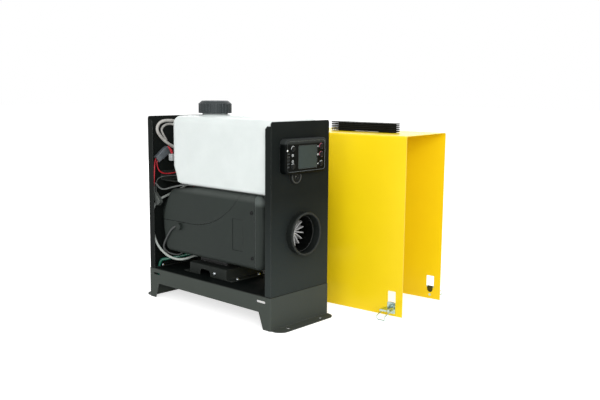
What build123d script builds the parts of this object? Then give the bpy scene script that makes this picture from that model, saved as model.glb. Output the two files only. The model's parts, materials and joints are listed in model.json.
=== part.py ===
"""Portable diesel air heater, standing beside the cover that has been lifted off it.

Millimetres, +Z up. The origin is on the floor at the centre of the four foot holes.
+X points to the front panel with the hot-air outlet, -Y is the near long side.
"""
import os
from math import asin, atan2, cos, degrees, hypot, pi, radians, sin, sqrt, tan

from build123d import *

# ---- folded sheet ---------------------------------------------------------
sheet = 1.5                  # base and panels
cover_sheet = 1.2            # cover
bend_radius = 2.5            # outer radius of a folded edge
sheet_gap = 0.3              # between sheets that only lie beside each other

# ---- base tray ------------------------------------------------------------
base_length = 362.0
base_width = 164.0
base_height = 64.0
skirt_edge = 32.0            # height of the long skirts' lower edge above the floor
leg_top_width = 31.0
leg_foot_width = 19.0
foot_reach = 24.0            # how far a foot flange stands out from its end face
foot_corner = 20.0
foot_hole_inset = 12.0       # from the end face to the hole centres
foot_hole_spacing = 92.0
foot_hole_radius = 3.25
latch_slot_length = 23.0
latch_slot_height = 4.5
latch_slot_drop = 11.5       # from the deck's top down to the slot centre

# ---- front and rear panel -------------------------------------------------
panel_length = 360.0         # outer face to outer face
panel_width = 160.4
panel_top = 386.0
panel_flange = 15.0
panel_notch = 8.0            # the side flanges stop this far below the top edge
panel_corner = 5.0
panel_foot = 16.0            # depth of the flange that is screwed to the deck
panel_screw_spacing = 110.0
slot_count = 9               # air slots of the rear panel
slot_pitch = 9.0
slot_height = 4.5

# ---- heater ---------------------------------------------------------------
axis_above_deck = 111.0      # the shaft and the outlet share this axis
casing_width = 132.0
casing_half_height = 72.0
casing_length = 304.5
casing_front_gap = 35.5      # from the casing's front to the front panel's inside
casing_wall = 2.5
casing_edge = 11.0           # radius along the long upper edges
casing_rear_bulge = 15.5     # how far the rear end swells behind its lower corner
casing_front_bulge = 3.5
casing_seam = 0.6            # visible groove between the shells
sensor_x = -98.0             # boss on the casing's near side
sensor_drop = 15.0           # below the axis
sensor_boss = 5.0
relief_x = 62.0              # shallow panel pressed into the sides
lead_hole_x = -123.0         # leads come up through the casing's top here
ring_length = 19.0           # front ring
nozzle_radius = 35.6
nozzle_wall = 2.0
nozzle_flange = 6.0
nozzle_reach = 39.0          # ahead of the casing's front
inlet_radius = 46.0
inlet_depth = 20.0           # inside the casing, ahead of the guard
inlet_wall = 2.5
inlet_ring_count = 4
inlet_spoke_count = 8

exchanger_radius = 56.0      # over the fins
exchanger_core = 42.0
exchanger_wall = 4.0
exchanger_fin_count = 24
exchanger_fin = 2.4
exchanger_length = 160.0
exchanger_setback = 23.0     # its rear flange, behind the middle of its foot
nose_fin_count = 16
nose_fin_radius = 32.0
nose_reach = 18.0            # how far the nose fins stand into the nozzle
foot_middle = -37.0          # the casting under the exchanger, along X
foot_length = 84.0
foot_width = 60.0
foot_round = 8.0
stud_radius = 3.0
stub_depth = 14.0            # how far the stubs stand into the foot
burner_radius = 30.0
burner_length = 85.0
glow_radius = 5.0

shaft_radius = 3.0
running_gap = 0.05           # radial clearance of a shaft or a pin in its hole
motor_radius = 26.0
motor_length = 43.0
blower_cup_radius = 36.0
blower_cup_depth = 22.0
blower_flange = 50.0
fan_radius = 41.0
fan_hub = 16.0
fan_width = 16.0
fan_blade_count = 7
fan_gap = 6.0                # between the motor can and the fan
air_wheel_gap = 3.0          # between the blower cup and the exchanger's flange
impeller_blade_count = 12

bracket_length = 111.0
bracket_width = 103.0
bracket_height = 22.0
bracket_front = 28.0
bracket_foot = 18.0          # its foot flanges, along X
arch_x = -36.0
arch_half = 16.0
arch_crown = 9.0             # metal left above the arched opening
earth_x = -7.0               # earth screw in the bracket's side
earth_z = 72.6
gasket_height = 2.0
deck_window_length = 72.0
deck_window_width = 44.0
stub_radius = 12.0           # exhaust and intake stubs, outside
stub_wall = 1.5
stub_spacing = 38.0
stub_clear = 5.0             # the stubs end this far above the skirt's lower edge

# ---- outlet collar --------------------------------------------------------
collar_radius = 39.5
collar_wall = 2.3
collar_reach = 17.0          # ahead of the front panel's face
collar_lip = 41.0
collar_lip_width = 5.0
collar_flange = 48.0

# ---- fuel tank and cap ----------------------------------------------------
tank_length = 277.0
tank_width = 144.0
tank_height = 138.0
tank_wall = 3.0
tank_gap = 8.5               # from its front end to the front panel's inside
tank_corner = 17.0
tank_lower_corner = 7.0
tank_cut_length = 17.0       # chamfer at the lower rear edge
tank_cut_height = 18.0
shelf_above_casing = 2.0
shelf_width = 100.0
shelf_tab = 18.0
neck_from_rear = 48.0        # neck centre, ahead of the tank's rear end
neck_radius = 26.0
neck_bore = 22.0
neck_height = 20.0
cap_radius = 34.0
cap_height = 25.0
cap_bevel = 4.5
cap_rib_count = 28
cap_gap = 5.5                # between the tank's top and the cap's lower edge
seal_height = 2.0
outlet_radius = 6.0
tank_outlet_y = 55.0
tank_outlet_rise = 16.0      # above the tank's cut rear edge

# ---- controller -----------------------------------------------------------
controller_width = 114.0
controller_height = 64.5
controller_depth = 14.5
controller_centre_y = -0.8
controller_centre_z = 322.5
controller_corner = 9.0
screen_width = 51.0
screen_height = 42.0
screen_offset_y = 4.2
screen_offset_z = -2.0
button_radius = 4.3
button_gap = 0.35
button_travel = 0.7
button_proud = 1.3
button_well = 5.0
button_left_y = -36.2
button_right_y = 42.3
button_left_rises = (14.5, -17.5)
button_right_rises = (15.8, 0.7, -16.4)
grommet_radius = 14.0
grommet_y = -18.0
grommet_z = 284.0
grommet_hole = 9.0

# ---- cover, grip and latches ----------------------------------------------
cover_length = 359.0
cover_height = 357.0
cover_side_gap = 0.6         # each side, between a panel's edge and the cover
cover_bend = 4.0
cover_x = 307.1              # near front lower corner of the cover as it stands
cover_y = 159.1
cover_yaw = 5.1
window_width = 17.6
window_bottom = 24.0
window_height = 26.0
latch_inset = 24.0           # latch centre, behind the cover's end
grip_start = 65.0            # behind the cover's front edge
grip_length = 163.0
grip_width = 30.0
grip_leaf_count = 5
grip_leaf = 2.0
grip_pitch = 3.8
grip_core_width = 17.0
grip_core_short = 17.0       # the core ends this far before the leaves at the rear
grip_post_height = 2.0
latch_plate_width = 17.6
latch_plate_low = 5.0
latch_plate_high = 28.0
latch_plate = 1.2
latch_pivot_z = 16.0
latch_pin_radius = 1.4
lever_width = 15.0           # over both cheeks
lever_sheet = 1.0
lever_web_gap = 0.4          # between the lever's web and the ears below it
lever_rest = 0.3             # left over a rivet head when the lever lies flat
rivet_radius = 1.5
rivet_head = 2.6             # radius
rivet_head_height = 1.0
lever_length = 26.0          # from its pin to its tip
lever_arm = 4.0              # from its pin to the bail's holes
ear_radius = 2.8
bail_wire = 1.0              # radius
bail_hook = 8.0
bail_side_gap = 0.35

# ---- fasteners, hoses and wires -------------------------------------------
screw_radius = 2.0
screw_head = 3.6
screw_head_height = 2.2
fuel_hose = 2.6              # radii
hose_bore = 1.6
green_hose = 3.2
green_bore = 2.1
drip_hole = 4.2
gland_hole = 5.5
gland_y = -70.5
gland_z = 234.0
nipple_length = 10.0
fuel_port_y = -21.0          # nipples on the rear of the exchanger's foot
fuel_port_z = 95.0
drip_port_y = -6.0
drip_port_z = 97.0
drip_x = -168.0
drip_y = -68.0
harness_sleeve = 3.1
red_wire = 1.3
grey_wire = 1.7
thin_wire = 0.8
sensor_wire = 2.2
pump_radius = 11.0
pump_length = 58.0
pump_x = -152.0
pump_y = 20.0
pump_low = 278.0
pump_plug_rise = 36.5
filter_radius = 11.0
filter_length = 34.0
filter_x = -140.0
inner_sleeve = 2.3
fuse_x = -173.0
connector_top = 306.0
plug_x = -163.0
plug_y = -71.5
plug_z = 212.0

# ---- places worked out from the sizes above --------------------------------
deck_top = base_height
deck_under = deck_top - sheet
panel_face = panel_length / 2
panel_inside = panel_face - sheet
axis_z = deck_top + axis_above_deck
casing_front = panel_inside - casing_front_gap
casing_rear = casing_front - casing_length
casing_top = axis_z + casing_half_height
casing_bottom = axis_z - casing_half_height
ring_rear = casing_front - ring_length
bracket_rear = bracket_front - bracket_length
bracket_top = deck_top + bracket_height
foot_rear = foot_middle - foot_length / 2
exchanger_rear = foot_middle - exchanger_setback
exchanger_front = exchanger_rear + exchanger_length
shelf_top = casing_top + shelf_above_casing + sheet
tank_front = panel_inside - tank_gap
tank_rear = tank_front - tank_length
tank_bottom = shelf_top
tank_top = tank_bottom + tank_height
neck_x = tank_rear + neck_from_rear
neck_top = tank_top + neck_height
cap_bottom = tank_top + cap_gap
cap_top = cap_bottom + cap_height
controller_back = panel_face + sheet_gap
controller_face = controller_back + controller_depth
slot_x = panel_face - latch_inset
sensor_z = axis_z - sensor_drop
inlet_rear = -panel_inside + sheet_gap
inlet_front = casing_rear + 4.5 + inlet_depth
control_top = axis_z + motor_radius + 24.3
glow_x = exchanger_rear + 9
cup_rear = exchanger_rear - air_wheel_gap - blower_cup_depth
fan_rear = cup_rear - motor_length - fan_gap - fan_width
tank_outlet_z = tank_bottom + tank_cut_height + tank_outlet_rise
pump_plug_z = pump_low + pump_plug_rise
latch_names = ("front_near", "rear_near", "front_far", "rear_far")
latch_pivot_out = (latch_plate + rivet_head_height + lever_rest + lever_sheet + lever_web_gap
                   + ear_radius)
cover_outer_width = panel_width + 2 * (cover_side_gap + cover_sheet)
bail_length = latch_pivot_z + lever_arm + latch_slot_drop
bail_drop = degrees(asin((latch_pivot_z - bail_wire) / hypot(bail_length, bail_hook))
                    - atan2(bail_hook, bail_length))


# ---- helpers ----------------------------------------------------------------
def block(x0, x1, y0, y1, z0, z1):
    """Box between two corners."""
    return Pos((x0 + x1) / 2, (y0 + y1) / 2, (z0 + z1) / 2) * Box(x1 - x0, y1 - y0, z1 - z0)


def rod_x(radius, x0, x1, y=0.0, z=0.0):
    """Round bar along X."""
    return Pos((x0 + x1) / 2, y, z) * Rot(0, 90, 0) * Cylinder(radius, x1 - x0)


def rod_y(radius, x, y0, y1, z):
    """Round bar along Y."""
    return Pos(x, (y0 + y1) / 2, z) * Rot(90, 0, 0) * Cylinder(radius, y1 - y0)


def rod_z(radius, x, y, z0, z1):
    """Round bar along Z."""
    return Pos(x, y, (z0 + z1) / 2) * Cylinder(radius, z1 - z0)


def prism_y(points, y0, y1):
    """Closed outline in the XZ plane, carried along Y."""
    outline = Polyline(*[(x, y1, z) for x, z in points], close=True)
    return extrude(make_face(outline), amount=y1 - y0, dir=(0, -1, 0))


def turned_x(profile):
    """Outline of (x, radius) points, turned round the heater's axis."""
    outline = Polyline(*[(x, 0, r) for x, r in profile], close=True)
    return Pos(0, 0, axis_z) * revolve(make_face(outline), Axis.X)


def turned_z(profile, x, y):
    """Outline of (radius, z) points, turned round an upright axis."""
    outline = Polyline(*[(r, 0, z) for r, z in profile], close=True)
    return Pos(x, y, 0) * revolve(make_face(outline), Axis.Z)


def pan_screw(length):
    """Pan-head screw along Z, its head standing on z = 0."""
    head = Pos(0, 0, screw_head_height / 2) * Cylinder(screw_head, screw_head_height)
    head = fillet(head.edges().filter_by(GeomType.CIRCLE).sort_by(Axis.Z)[-1], screw_head_height * 0.45)
    cross = Pos(0, 0, screw_head_height) * (Box(3.6, 0.9, 1.4) + Box(0.9, 3.6, 1.4))
    return head - cross + Pos(0, 0, -length / 2) * Cylinder(screw_radius, length)


def smooth_radii(points):
    """Bend radius at each corner of a route: as large as its two runs allow."""
    steps = [Vector(*b) - Vector(*a) for a, b in zip(points, points[1:])]
    radii = []
    for before, after in zip(steps, steps[1:]):
        half_turn = radians(before.get_angle(after)) / 2
        radii.append(0.45 * min(before.length, after.length) / tan(half_turn))
    return radii


def tube_along(points, radius, name, bore=0.0):
    """Round tube on straight runs joined by tangent arcs; prints its radii and volume."""
    radii = smooth_radii(points)
    path = FilletPolyline(*points, radius=radii)
    start = Plane(origin=path @ 0, z_dir=path % 0)
    tube = sweep(start * Circle(radius), path=path)
    expected = pi * radius ** 2 * path.length
    print(name, "length %.0f" % path.length, "radii", [round(r) for r in radii],
          "volume ratio %.3f" % (tube.volume / expected))
    if bore:
        tube -= sweep(start * Circle(bore), path=path)
    return tube


# ---- base and panels ----------------------------------------------------------
def make_base_tray():
    """Deck with folded skirts, tapered legs, and a foot flange at each end."""
    half_l, half_w = base_length / 2, base_width / 2
    outer = block(-half_l, half_l, -half_w, half_w, 0, deck_top)
    outer = fillet(outer.edges().filter_by(Axis.Z), bend_radius)
    outer = fillet(outer.faces().sort_by(Axis.Z)[-1].edges(), bend_radius)
    inner = block(-half_l + sheet, half_l - sheet, -half_w + sheet, half_w - sheet, -1, deck_under)
    inner = fillet(inner.edges().filter_by(Axis.Z), bend_radius - sheet)
    tray = outer - inner
    top_x, foot_x = half_l - leg_top_width, half_l - leg_foot_width
    gap = [(-foot_x, -1), (foot_x, -1), (top_x, skirt_edge), (-top_x, skirt_edge)]
    tray -= prism_y(gap, -half_w - 1, half_w + 1)
    for end in (1, -1):
        flange = Pos(end * (half_l + foot_reach / 2 - sheet), 0, sheet / 2) * Box(
            foot_reach + 2 * sheet, base_width - 2 * bend_radius, sheet)
        outer_edges = flange.edges().filter_by(Axis.Z).sort_by(Axis.X)
        flange = fillet(outer_edges[2:] if end > 0 else outer_edges[:2], foot_corner)
        for side in (1, -1):
            flange -= rod_z(foot_hole_radius, end * (half_l + foot_hole_inset),
                            side * foot_hole_spacing / 2, -1, sheet + 1)
        tray += flange
        for side in (1, -1):
            slot = Pos(end * slot_x, side * half_w, deck_top - latch_slot_drop) * Rot(90, 0, 0) * extrude(
                SlotOverall(latch_slot_length, latch_slot_height), amount=2 * sheet, both=True)
            tray -= slot
            tray -= rod_z(screw_radius, end * (panel_inside - panel_foot / 2),
                          side * panel_screw_spacing / 2, deck_under - 1, deck_top + 1)
    window = Pos(foot_middle, 0, deck_under) * Box(deck_window_length, deck_window_width, 4 * sheet)
    window = fillet(window.edges().filter_by(Axis.Z), 6)
    for x, y in bracket_screw_places():
        tray -= rod_z(screw_radius, x, y, deck_under - 1, deck_top + 1)
    tray -= rod_z(drip_hole, drip_x, drip_y, deck_under - 1, deck_top + 1)
    return tray - window


def make_panel(end):
    """End panel with folded side flanges and a foot flange; end is +1 front, -1 rear."""
    half_w = panel_width / 2
    plate = block(panel_inside, panel_face, -half_w, half_w, deck_top, panel_top)
    plate = fillet(plate.edges().filter_by(Axis.X).group_by(Axis.Z)[-1], panel_corner)
    flange_top = panel_top - panel_notch
    for side in (1, -1):
        near, far = sorted((side * half_w, side * (half_w - sheet)))
        lip = block(panel_face - panel_flange, panel_face, near, far, deck_top, flange_top)
        lip = chamfer(lip.edges().filter_by(Axis.Y).sort_by(lambda e: e.center().Z - e.center().X)[-1], 5)
        plate += lip
    foot = block(panel_inside - panel_foot, panel_face, -half_w + 6, half_w - 6, deck_top, deck_top + sheet)
    plate += foot
    for side in (1, -1):
        plate -= rod_z(screw_radius, panel_inside - panel_foot / 2, side * panel_screw_spacing / 2,
                       deck_top - 1, deck_top + sheet + 1)
    return plate if end > 0 else Rot(0, 0, 180) * plate


def make_front_panel():
    """Front panel, open for the outlet collar and the controller's lead."""
    panel = make_panel(1)
    panel -= rod_x(collar_radius + sheet_gap, panel_inside - 5, panel_face + 5, 0, axis_z)
    panel -= rod_x(grommet_hole, panel_inside - 5, panel_face + 5, grommet_y, grommet_z)
    return panel


def make_rear_panel():
    """Rear panel with a round field of air slots and a hole for the supply lead."""
    panel = make_panel(-1)
    field = inlet_radius - inlet_wall
    for i in range(slot_count):
        rise = (i - (slot_count - 1) / 2) * slot_pitch
        width = 2 * sqrt(field ** 2 - rise ** 2)
        face = Plane(origin=(-panel_face, 0, axis_z + rise), x_dir=(0, 1, 0), z_dir=(1, 0, 0))
        panel -= extrude(face * SlotOverall(width, slot_height), amount=3 * sheet, both=True)
    panel -= rod_z(drip_hole, drip_x, drip_y, deck_top - 1, deck_top + 3)
    panel -= rod_x(gland_hole, -panel_face - 5, -panel_inside + 5, gland_y, gland_z)
    return panel


def make_frame_screws():
    """Pan screws of the panels, the heater's bracket and the casing, all of one kind."""
    screw = pan_screw(sheet * 2 + 3)
    at = panel_inside - panel_foot / 2
    places = [(end * at, side * panel_screw_spacing / 2) for end in (1, -1) for side in (1, -1)]
    screws = [Pos(x, y, deck_top + sheet) * screw for x, y in places + bracket_screw_places()]
    for side in (1, -1):
        turned = Rot(-90 * side, 0, 0) * screw
        screws += [Pos(x, side * casing_width / 2, z) * turned for x, z in casing_screw_places()]
        screws.append(Pos(earth_x, side * bracket_width / 2, earth_z) * turned)
    return screws


def make_cable_gland():
    """Rubber grommet for the supply lead in the rear panel."""
    bead = gland_hole + 2
    ring = rod_x(bead, -panel_face - 2, -panel_inside + 1.5, gland_y, gland_z)
    groove = rod_x(bead + 1, -panel_face, -panel_inside, gland_y, gland_z) - rod_x(
        gland_hole, -panel_face - 1, -panel_inside + 1, gland_y, gland_z)
    return ring - groove - rod_x(3.6, -panel_face - 5, -panel_inside + 5, gland_y, gland_z)


# ---- casing -------------------------------------------------------------------
def casing_body(inset):
    """The casing's outer form, or its hollow when inset by the wall."""
    rear_low = casing_rear + casing_rear_bulge
    corners = [(rear_low, casing_bottom, 14), (casing_front - 2, casing_bottom, 14),
               (casing_front + casing_front_bulge, axis_z, 150), (casing_front - 2, casing_top, 16),
               (rear_low + 106, casing_top, 60), (rear_low + 15, casing_top - 12, 16),
               (casing_rear, axis_z + 3, 90)]
    outline = FilletPolyline(*[(x, 0, z) for x, z, _ in corners], close=True,
                             radius=[r for _, _, r in corners])
    side = make_face(outline)
    if inset:
        side = offset(side, -inset)
    half_w = casing_width / 2 - inset
    body = extrude(Pos(0, half_w, 0) * side, amount=2 * half_w, dir=(0, -1, 0))
    long_edges = [e for e in body.edges() if abs(abs(e.center().Y) - half_w) < 0.01]
    return fillet(long_edges, casing_edge - inset)


def above_seam(lift):
    """Everything above the curved parting line, which rises to the top near the front."""
    flat_end, right, top = casing_rear + 101, casing_front - 55, casing_top + 20
    left, low = casing_rear - 20, axis_z - 5 + lift
    line = Curve() + [
        Line((left, 0, low), (flat_end, 0, low)),
        TangentArc((flat_end, 0, low), (right, 0, casing_top + 2), tangent=(1, 0, 0)),
        Line((right, 0, casing_top + 2), (right, 0, top)),
        Line((right, 0, top), (left, 0, top)),
        Line((left, 0, top), (left, 0, low)),
    ]
    half = casing_width
    return extrude(Pos(0, half, 0) * make_face(line), amount=2 * half, dir=(0, -1, 0))


def casing_shell():
    """Hollow casing, open for the rear inlet, the nozzle and the exchanger's foot."""
    shell = casing_body(0) - casing_body(casing_wall)
    shell -= rod_x(inlet_radius + sheet_gap, casing_rear - 5, inlet_front + 20, 0, axis_z)
    half_l, half_w = foot_length / 2 + sheet_gap, foot_width / 2 + sheet_gap
    return shell - block(foot_middle - half_l, foot_middle + half_l, -half_w, half_w,
                         casing_bottom - 5, casing_bottom + casing_wall + 5)


def make_casing():
    """Upper shell, lower shell and front ring, cut from one form."""
    shell = casing_shell()
    front = casing_front + 10
    ring_zone = block(ring_rear, front, -casing_width, casing_width, 0, panel_top)
    ring_zone_wide = block(ring_rear - casing_seam, front, -casing_width, casing_width, 0, panel_top)
    upper = (shell & above_seam(casing_seam / 2)) - ring_zone_wide
    lead_hole = block(lead_hole_x - 8, lead_hole_x + 8, -12, 34, control_top + 1, casing_top)
    upper -= fillet(lead_hole.edges().filter_by(Axis.Z), 3)
    lower = shell - above_seam(-casing_seam / 2) - ring_zone_wide
    ring = shell & ring_zone
    ring -= rod_x(nozzle_radius + sheet_gap, casing_front - 10, casing_front + 10, 0, axis_z)
    boss = rod_y(7.5, sensor_x, -casing_width / 2 - sensor_boss, -casing_width / 2 + 1, sensor_z)
    lower += boss - casing_body(casing_wall)
    relief = block(relief_x, relief_x + 30, -casing_width / 2 - 1, -casing_width / 2 + 0.8,
                   axis_z - 40, axis_z + 22)
    lower -= fillet(relief.edges().filter_by(Axis.Y), 3)
    for x, z in casing_screw_places():
        for side in (1, -1):
            lower -= rod_y(screw_radius, x, *sorted((side * (casing_width / 2 - 6),
                                                     side * (casing_width / 2 + 1))), z)
    return upper, lower, ring


def make_outlet_nozzle():
    """Round nozzle set into the front ring, its flange behind the ring's wall."""
    inner, rear = nozzle_radius - nozzle_wall, casing_front - casing_wall - 4
    front = casing_front + nozzle_reach
    flange = nozzle_radius + nozzle_flange
    return turned_x([(rear, inner), (rear, flange), (rear + 2, flange), (rear + 2, nozzle_radius),
                     (front - 1, nozzle_radius), (front, nozzle_radius - 0.8), (front, inner + 0.6),
                     (front - 0.6, inner)])


def casing_screw_places():
    """X and Z of the two screws on each side of the casing."""
    return [(ring_rear - 9, axis_z + 38), (ring_rear - 7, axis_z - 49)]


def make_inlet_grille():
    """Air sleeve from the rear panel into the casing, with a guard of rings and spokes."""
    rear = inlet_front - inlet_depth
    rim = rod_x(inlet_radius, inlet_rear, inlet_front, 0, axis_z) - rod_x(
        inlet_radius - inlet_wall, inlet_rear - 1, inlet_front + 1, 0, axis_z)
    guard = rod_x(9, rear, rear + 2.5, 0, axis_z)
    pitch = (inlet_radius - 9) / inlet_ring_count
    for i in range(1, inlet_ring_count):
        radius = 9 + i * pitch
        guard += rod_x(radius + 1, rear, rear + 2.5, 0, axis_z) - rod_x(
            radius - 1, rear - 1, rear + 3.5, 0, axis_z)
    for i in range(inlet_spoke_count):
        spoke = Pos(rear + 1.25, 0, (inlet_radius + 6) / 2) * Box(2.5, 2.2, inlet_radius - 8)
        guard += Pos(0, 0, axis_z) * Rot(i * 360 / inlet_spoke_count, 0, 0) * spoke
    return rim + guard


# ---- inside the heater --------------------------------------------------------
def make_heat_exchanger():
    """Cast exchanger: hollow core, long radial fins, star of nose fins and a flanged foot."""
    front = exchanger_front
    core = turned_x([(exchanger_rear, exchanger_core - exchanger_wall), (exchanger_rear, blower_flange),
                     (exchanger_rear + 6, blower_flange), (exchanger_rear + 6, exchanger_core),
                     (front, exchanger_core), (front + 14, 26), (front + 16, 0), (front + 10, 0),
                     (front - 4, exchanger_core - exchanger_wall)])
    fin_start = exchanger_rear + 18
    for i in range(exchanger_fin_count):
        fin = Pos((fin_start + front) / 2, 0, (exchanger_core + exchanger_radius) / 2 - 1) * Box(
            front - fin_start, exchanger_fin, exchanger_radius - exchanger_core + 2)
        core += Pos(0, 0, axis_z) * Rot((i + 0.5) * 360 / exchanger_fin_count, 0, 0) * fin
    tip = casing_front + nose_reach
    shoulder = exchanger_core - 2
    profile = Polyline((front + 8, 0, 8), (front - 2, 0, shoulder), (casing_front - 16, 0, shoulder),
                       (casing_front - 8, 0, nose_fin_radius), (tip, 0, nose_fin_radius - 2), (tip, 0, 9),
                       (tip - 6, 0, 5), close=True)
    blade = extrude(make_face(profile), amount=exchanger_fin / 2, both=True)
    for i in range(nose_fin_count):
        core += Pos(0, 0, axis_z) * Rot((i + 0.5) * 360 / nose_fin_count, 0, 0) * blade
    core += rod_x(9, front + 8, tip - 4, 0, axis_z)
    foot_low = bracket_top + gasket_height
    foot = block(foot_rear, foot_rear + foot_length, -foot_width / 2, foot_width / 2,
                 foot_low, axis_z - exchanger_core + 6)
    foot = fillet(foot.edges().filter_by(Axis.Z), foot_round)
    foot -= rod_x(exchanger_core - 1, foot_rear - 1, foot_rear + foot_length + 1, 0, axis_z)
    foot -= rod_x(blower_flange + 1, foot_rear - 1, exchanger_rear, 0, axis_z)
    foot += rod_x(hose_bore, foot_rear - nipple_length, foot_rear, fuel_port_y, fuel_port_z)
    foot += rod_x(green_bore, foot_rear - nipple_length, foot_rear, drip_port_y, drip_port_z)
    core += foot
    for side in (1, -1):
        core -= rod_z(stub_radius, foot_middle + side * stub_spacing / 2, 0, 0, foot_low + stub_depth)
    for x, y in foot_stud_places():
        core += rod_z(stud_radius, x, y, bracket_top - 8, foot_low + 2)
    core -= rod_z(glow_radius + 0.1, glow_x, 0, axis_z, axis_z + exchanger_radius + 10)
    return core


def foot_stud_places():
    """X and Y of the four studs under the exchanger's foot."""
    reach_x, reach_y = foot_length / 2 - 7, foot_width / 2 - 7
    return [(foot_middle + a * reach_x, b * reach_y) for a in (1, -1) for b in (1, -1)]


def make_burner_tube():
    """Flanged burner tube with rows of air holes, inside the exchanger."""
    rear = exchanger_rear
    tube = turned_x([(rear, 12), (rear, exchanger_core - exchanger_wall - 0.2),
                     (rear + 3, exchanger_core - exchanger_wall - 0.2), (rear + 3, burner_radius),
                     (rear + burner_length, burner_radius), (rear + burner_length, burner_radius - 1.5),
                     (rear + 3, burner_radius - 1.5), (rear + 3, 12)])
    for row in range(3):
        for i in range(6):
            hole = Pos(rear + 30 + 18 * row, 0, burner_radius) * Cylinder(2.5, 10)
            tube -= Pos(0, 0, axis_z) * Rot(i * 60 + 30 * row, 0, 0) * hole
    return tube - rod_z(glow_radius + 0.1, glow_x, 0, axis_z + 10, axis_z + burner_radius + 10)


def make_glow_plug():
    """Glow pin with a hexagon head, set into the exchanger from above."""
    top = axis_z + exchanger_core + 10
    plug = rod_z(glow_radius, glow_x, 0, axis_z + burner_radius - 10, top)
    head = Pos(glow_x, 0, top) * extrude(RegularPolygon(7.5, 6), amount=6)
    return plug + head + rod_z(2, glow_x, 0, top + 6, top + 13)


def make_blower_housing():
    """Flanged cup round the combustion air wheel, closed by the motor can."""
    face = exchanger_rear
    can_rear = cup_rear - motor_length
    bore = shaft_radius + running_gap
    return turned_x([(face, blower_cup_radius - 3), (face, blower_flange), (face - 3, blower_flange),
                     (face - 3, blower_cup_radius), (cup_rear, blower_cup_radius), (cup_rear, motor_radius),
                     (can_rear + 3, motor_radius), (can_rear, motor_radius - 3), (can_rear, bore),
                     (cup_rear + 3, bore), (cup_rear + 3, blower_cup_radius - 3)])


def make_shaft():
    """Blower shaft from the rear fan to the burner air wheel."""
    return rod_x(shaft_radius, fan_rear - 2, cup_rear + 16, 0, axis_z)


def make_fan_wheel():
    """Axial fan: hub and twisted blades."""
    wheel = rod_x(fan_hub, fan_rear, fan_rear + fan_width, 0, axis_z)
    root = Pos(fan_rear + fan_width / 2, 0, fan_hub - 2) * Rot(0, 0, 52) * Rectangle(fan_width, 2.0)
    tip = Pos(fan_rear + fan_width / 2, 0, fan_radius) * Rot(0, 0, 66) * Rectangle(fan_width + 6, 1.4)
    blade = loft([root, tip])
    for i in range(fan_blade_count):
        wheel += Pos(0, 0, axis_z) * Rot(i * 360 / fan_blade_count, 0, 0) * blade
    return wheel - rod_x(shaft_radius, fan_rear - 10, fan_rear + fan_width + 10, 0, axis_z)


def make_burner_wheel():
    """Combustion air wheel: disc with straight radial blades."""
    disc_rear = cup_rear + 5
    radius = blower_cup_radius - 6
    wheel = rod_x(radius, disc_rear, disc_rear + 2, 0, axis_z)
    wheel += rod_x(8, disc_rear, disc_rear + 11, 0, axis_z)
    for i in range(impeller_blade_count):
        blade = Pos(disc_rear + 5.5, 0, (radius + 7) / 2) * Box(8, 1.4, radius - 7)
        wheel += Pos(0, 0, axis_z) * Rot(i * 360 / impeller_blade_count, 0, 0) * blade
    return wheel - rod_x(shaft_radius, disc_rear - 10, disc_rear + 20, 0, axis_z)


def make_control_unit():
    """Control board in its box, resting on the motor can."""
    low = axis_z + motor_radius + 0.3
    front = exchanger_rear - 8 - blower_cup_depth
    box = block(front - 40, front, -34, 34, low, control_top)
    box = fillet(box.edges().filter_by(Axis.Z), 4)
    return chamfer(box.faces().sort_by(Axis.Z)[-1].edges(), 2)


# ---- under the heater ---------------------------------------------------------
def make_heater_bracket():
    """Folded bracket with an arched opening in each side and a window on top."""
    half = bracket_width / 2
    outer = block(bracket_rear, bracket_front, -half, half, deck_top, bracket_top)
    outer = fillet(outer.edges().filter_by(Axis.X).group_by(Axis.Z)[-1], bend_radius)
    body = outer - block(bracket_rear - 1, bracket_front + 1, -half + sheet, half - sheet,
                         deck_top - 1, bracket_top - sheet)
    arch = block(arch_x - arch_half, arch_x + arch_half, -bracket_width, bracket_width,
                 deck_top - 1, bracket_top - arch_crown)
    body -= fillet(arch.edges().filter_by(Axis.Y).group_by(Axis.Z)[-1], 9)
    for face, inward in ((bracket_rear, 1), (bracket_front, -1)):
        x0, x1 = sorted((face, face - inward * bracket_foot))
        body += block(x0, x1, -half, half, deck_top, deck_top + sheet)
        x0, x1 = sorted((face, face + inward * sheet))
        body += block(x0, x1, -half, half, deck_top, bracket_top - 1)
    for x, y in bracket_screw_places():
        body -= rod_z(screw_radius, x, y, deck_top - 1, deck_top + 5)
    for side in (1, -1):
        y0, y1 = sorted((side * (half - 5), side * (half + 1)))
        body -= rod_y(screw_radius, earth_x, y0, y1, earth_z)
    window = Pos(foot_middle, 0, bracket_top) * Box(deck_window_length, deck_window_width, 4 * sheet)
    body -= fillet(window.edges().filter_by(Axis.Z), 6)
    for x, y in foot_stud_places():
        body -= rod_z(stud_radius + sheet_gap, x, y, bracket_top - 5, bracket_top + 5)
    return body


def bracket_screw_places():
    """X and Y of the four screws in the bracket's foot flanges."""
    return [(x, y) for x in (bracket_front + 10, bracket_rear - 10) for y in (30, -30)]


def make_foot_gasket():
    """Gasket between the exchanger's foot and the bracket."""
    low, high = bracket_top - 5, bracket_top + 5
    plate = block(foot_rear, foot_rear + foot_length, -foot_width / 2, foot_width / 2,
                  bracket_top, bracket_top + gasket_height)
    plate = fillet(plate.edges().filter_by(Axis.Z), foot_round)
    for side in (1, -1):
        plate -= rod_z(stub_radius + sheet_gap, foot_middle + side * stub_spacing / 2, 0, low, high)
    for x, y in foot_stud_places():
        plate -= rod_z(stud_radius + sheet_gap, x, y, low, high)
    return plate


def make_foot_nuts():
    """Hexagon nuts on the four studs, below the bracket's top."""
    nut = extrude(RegularPolygon(5.8, 6), amount=5) - Cylinder(stud_radius, 20)
    return [Pos(x, y, bracket_top - sheet - 5) * nut for x, y in foot_stud_places()]


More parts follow.
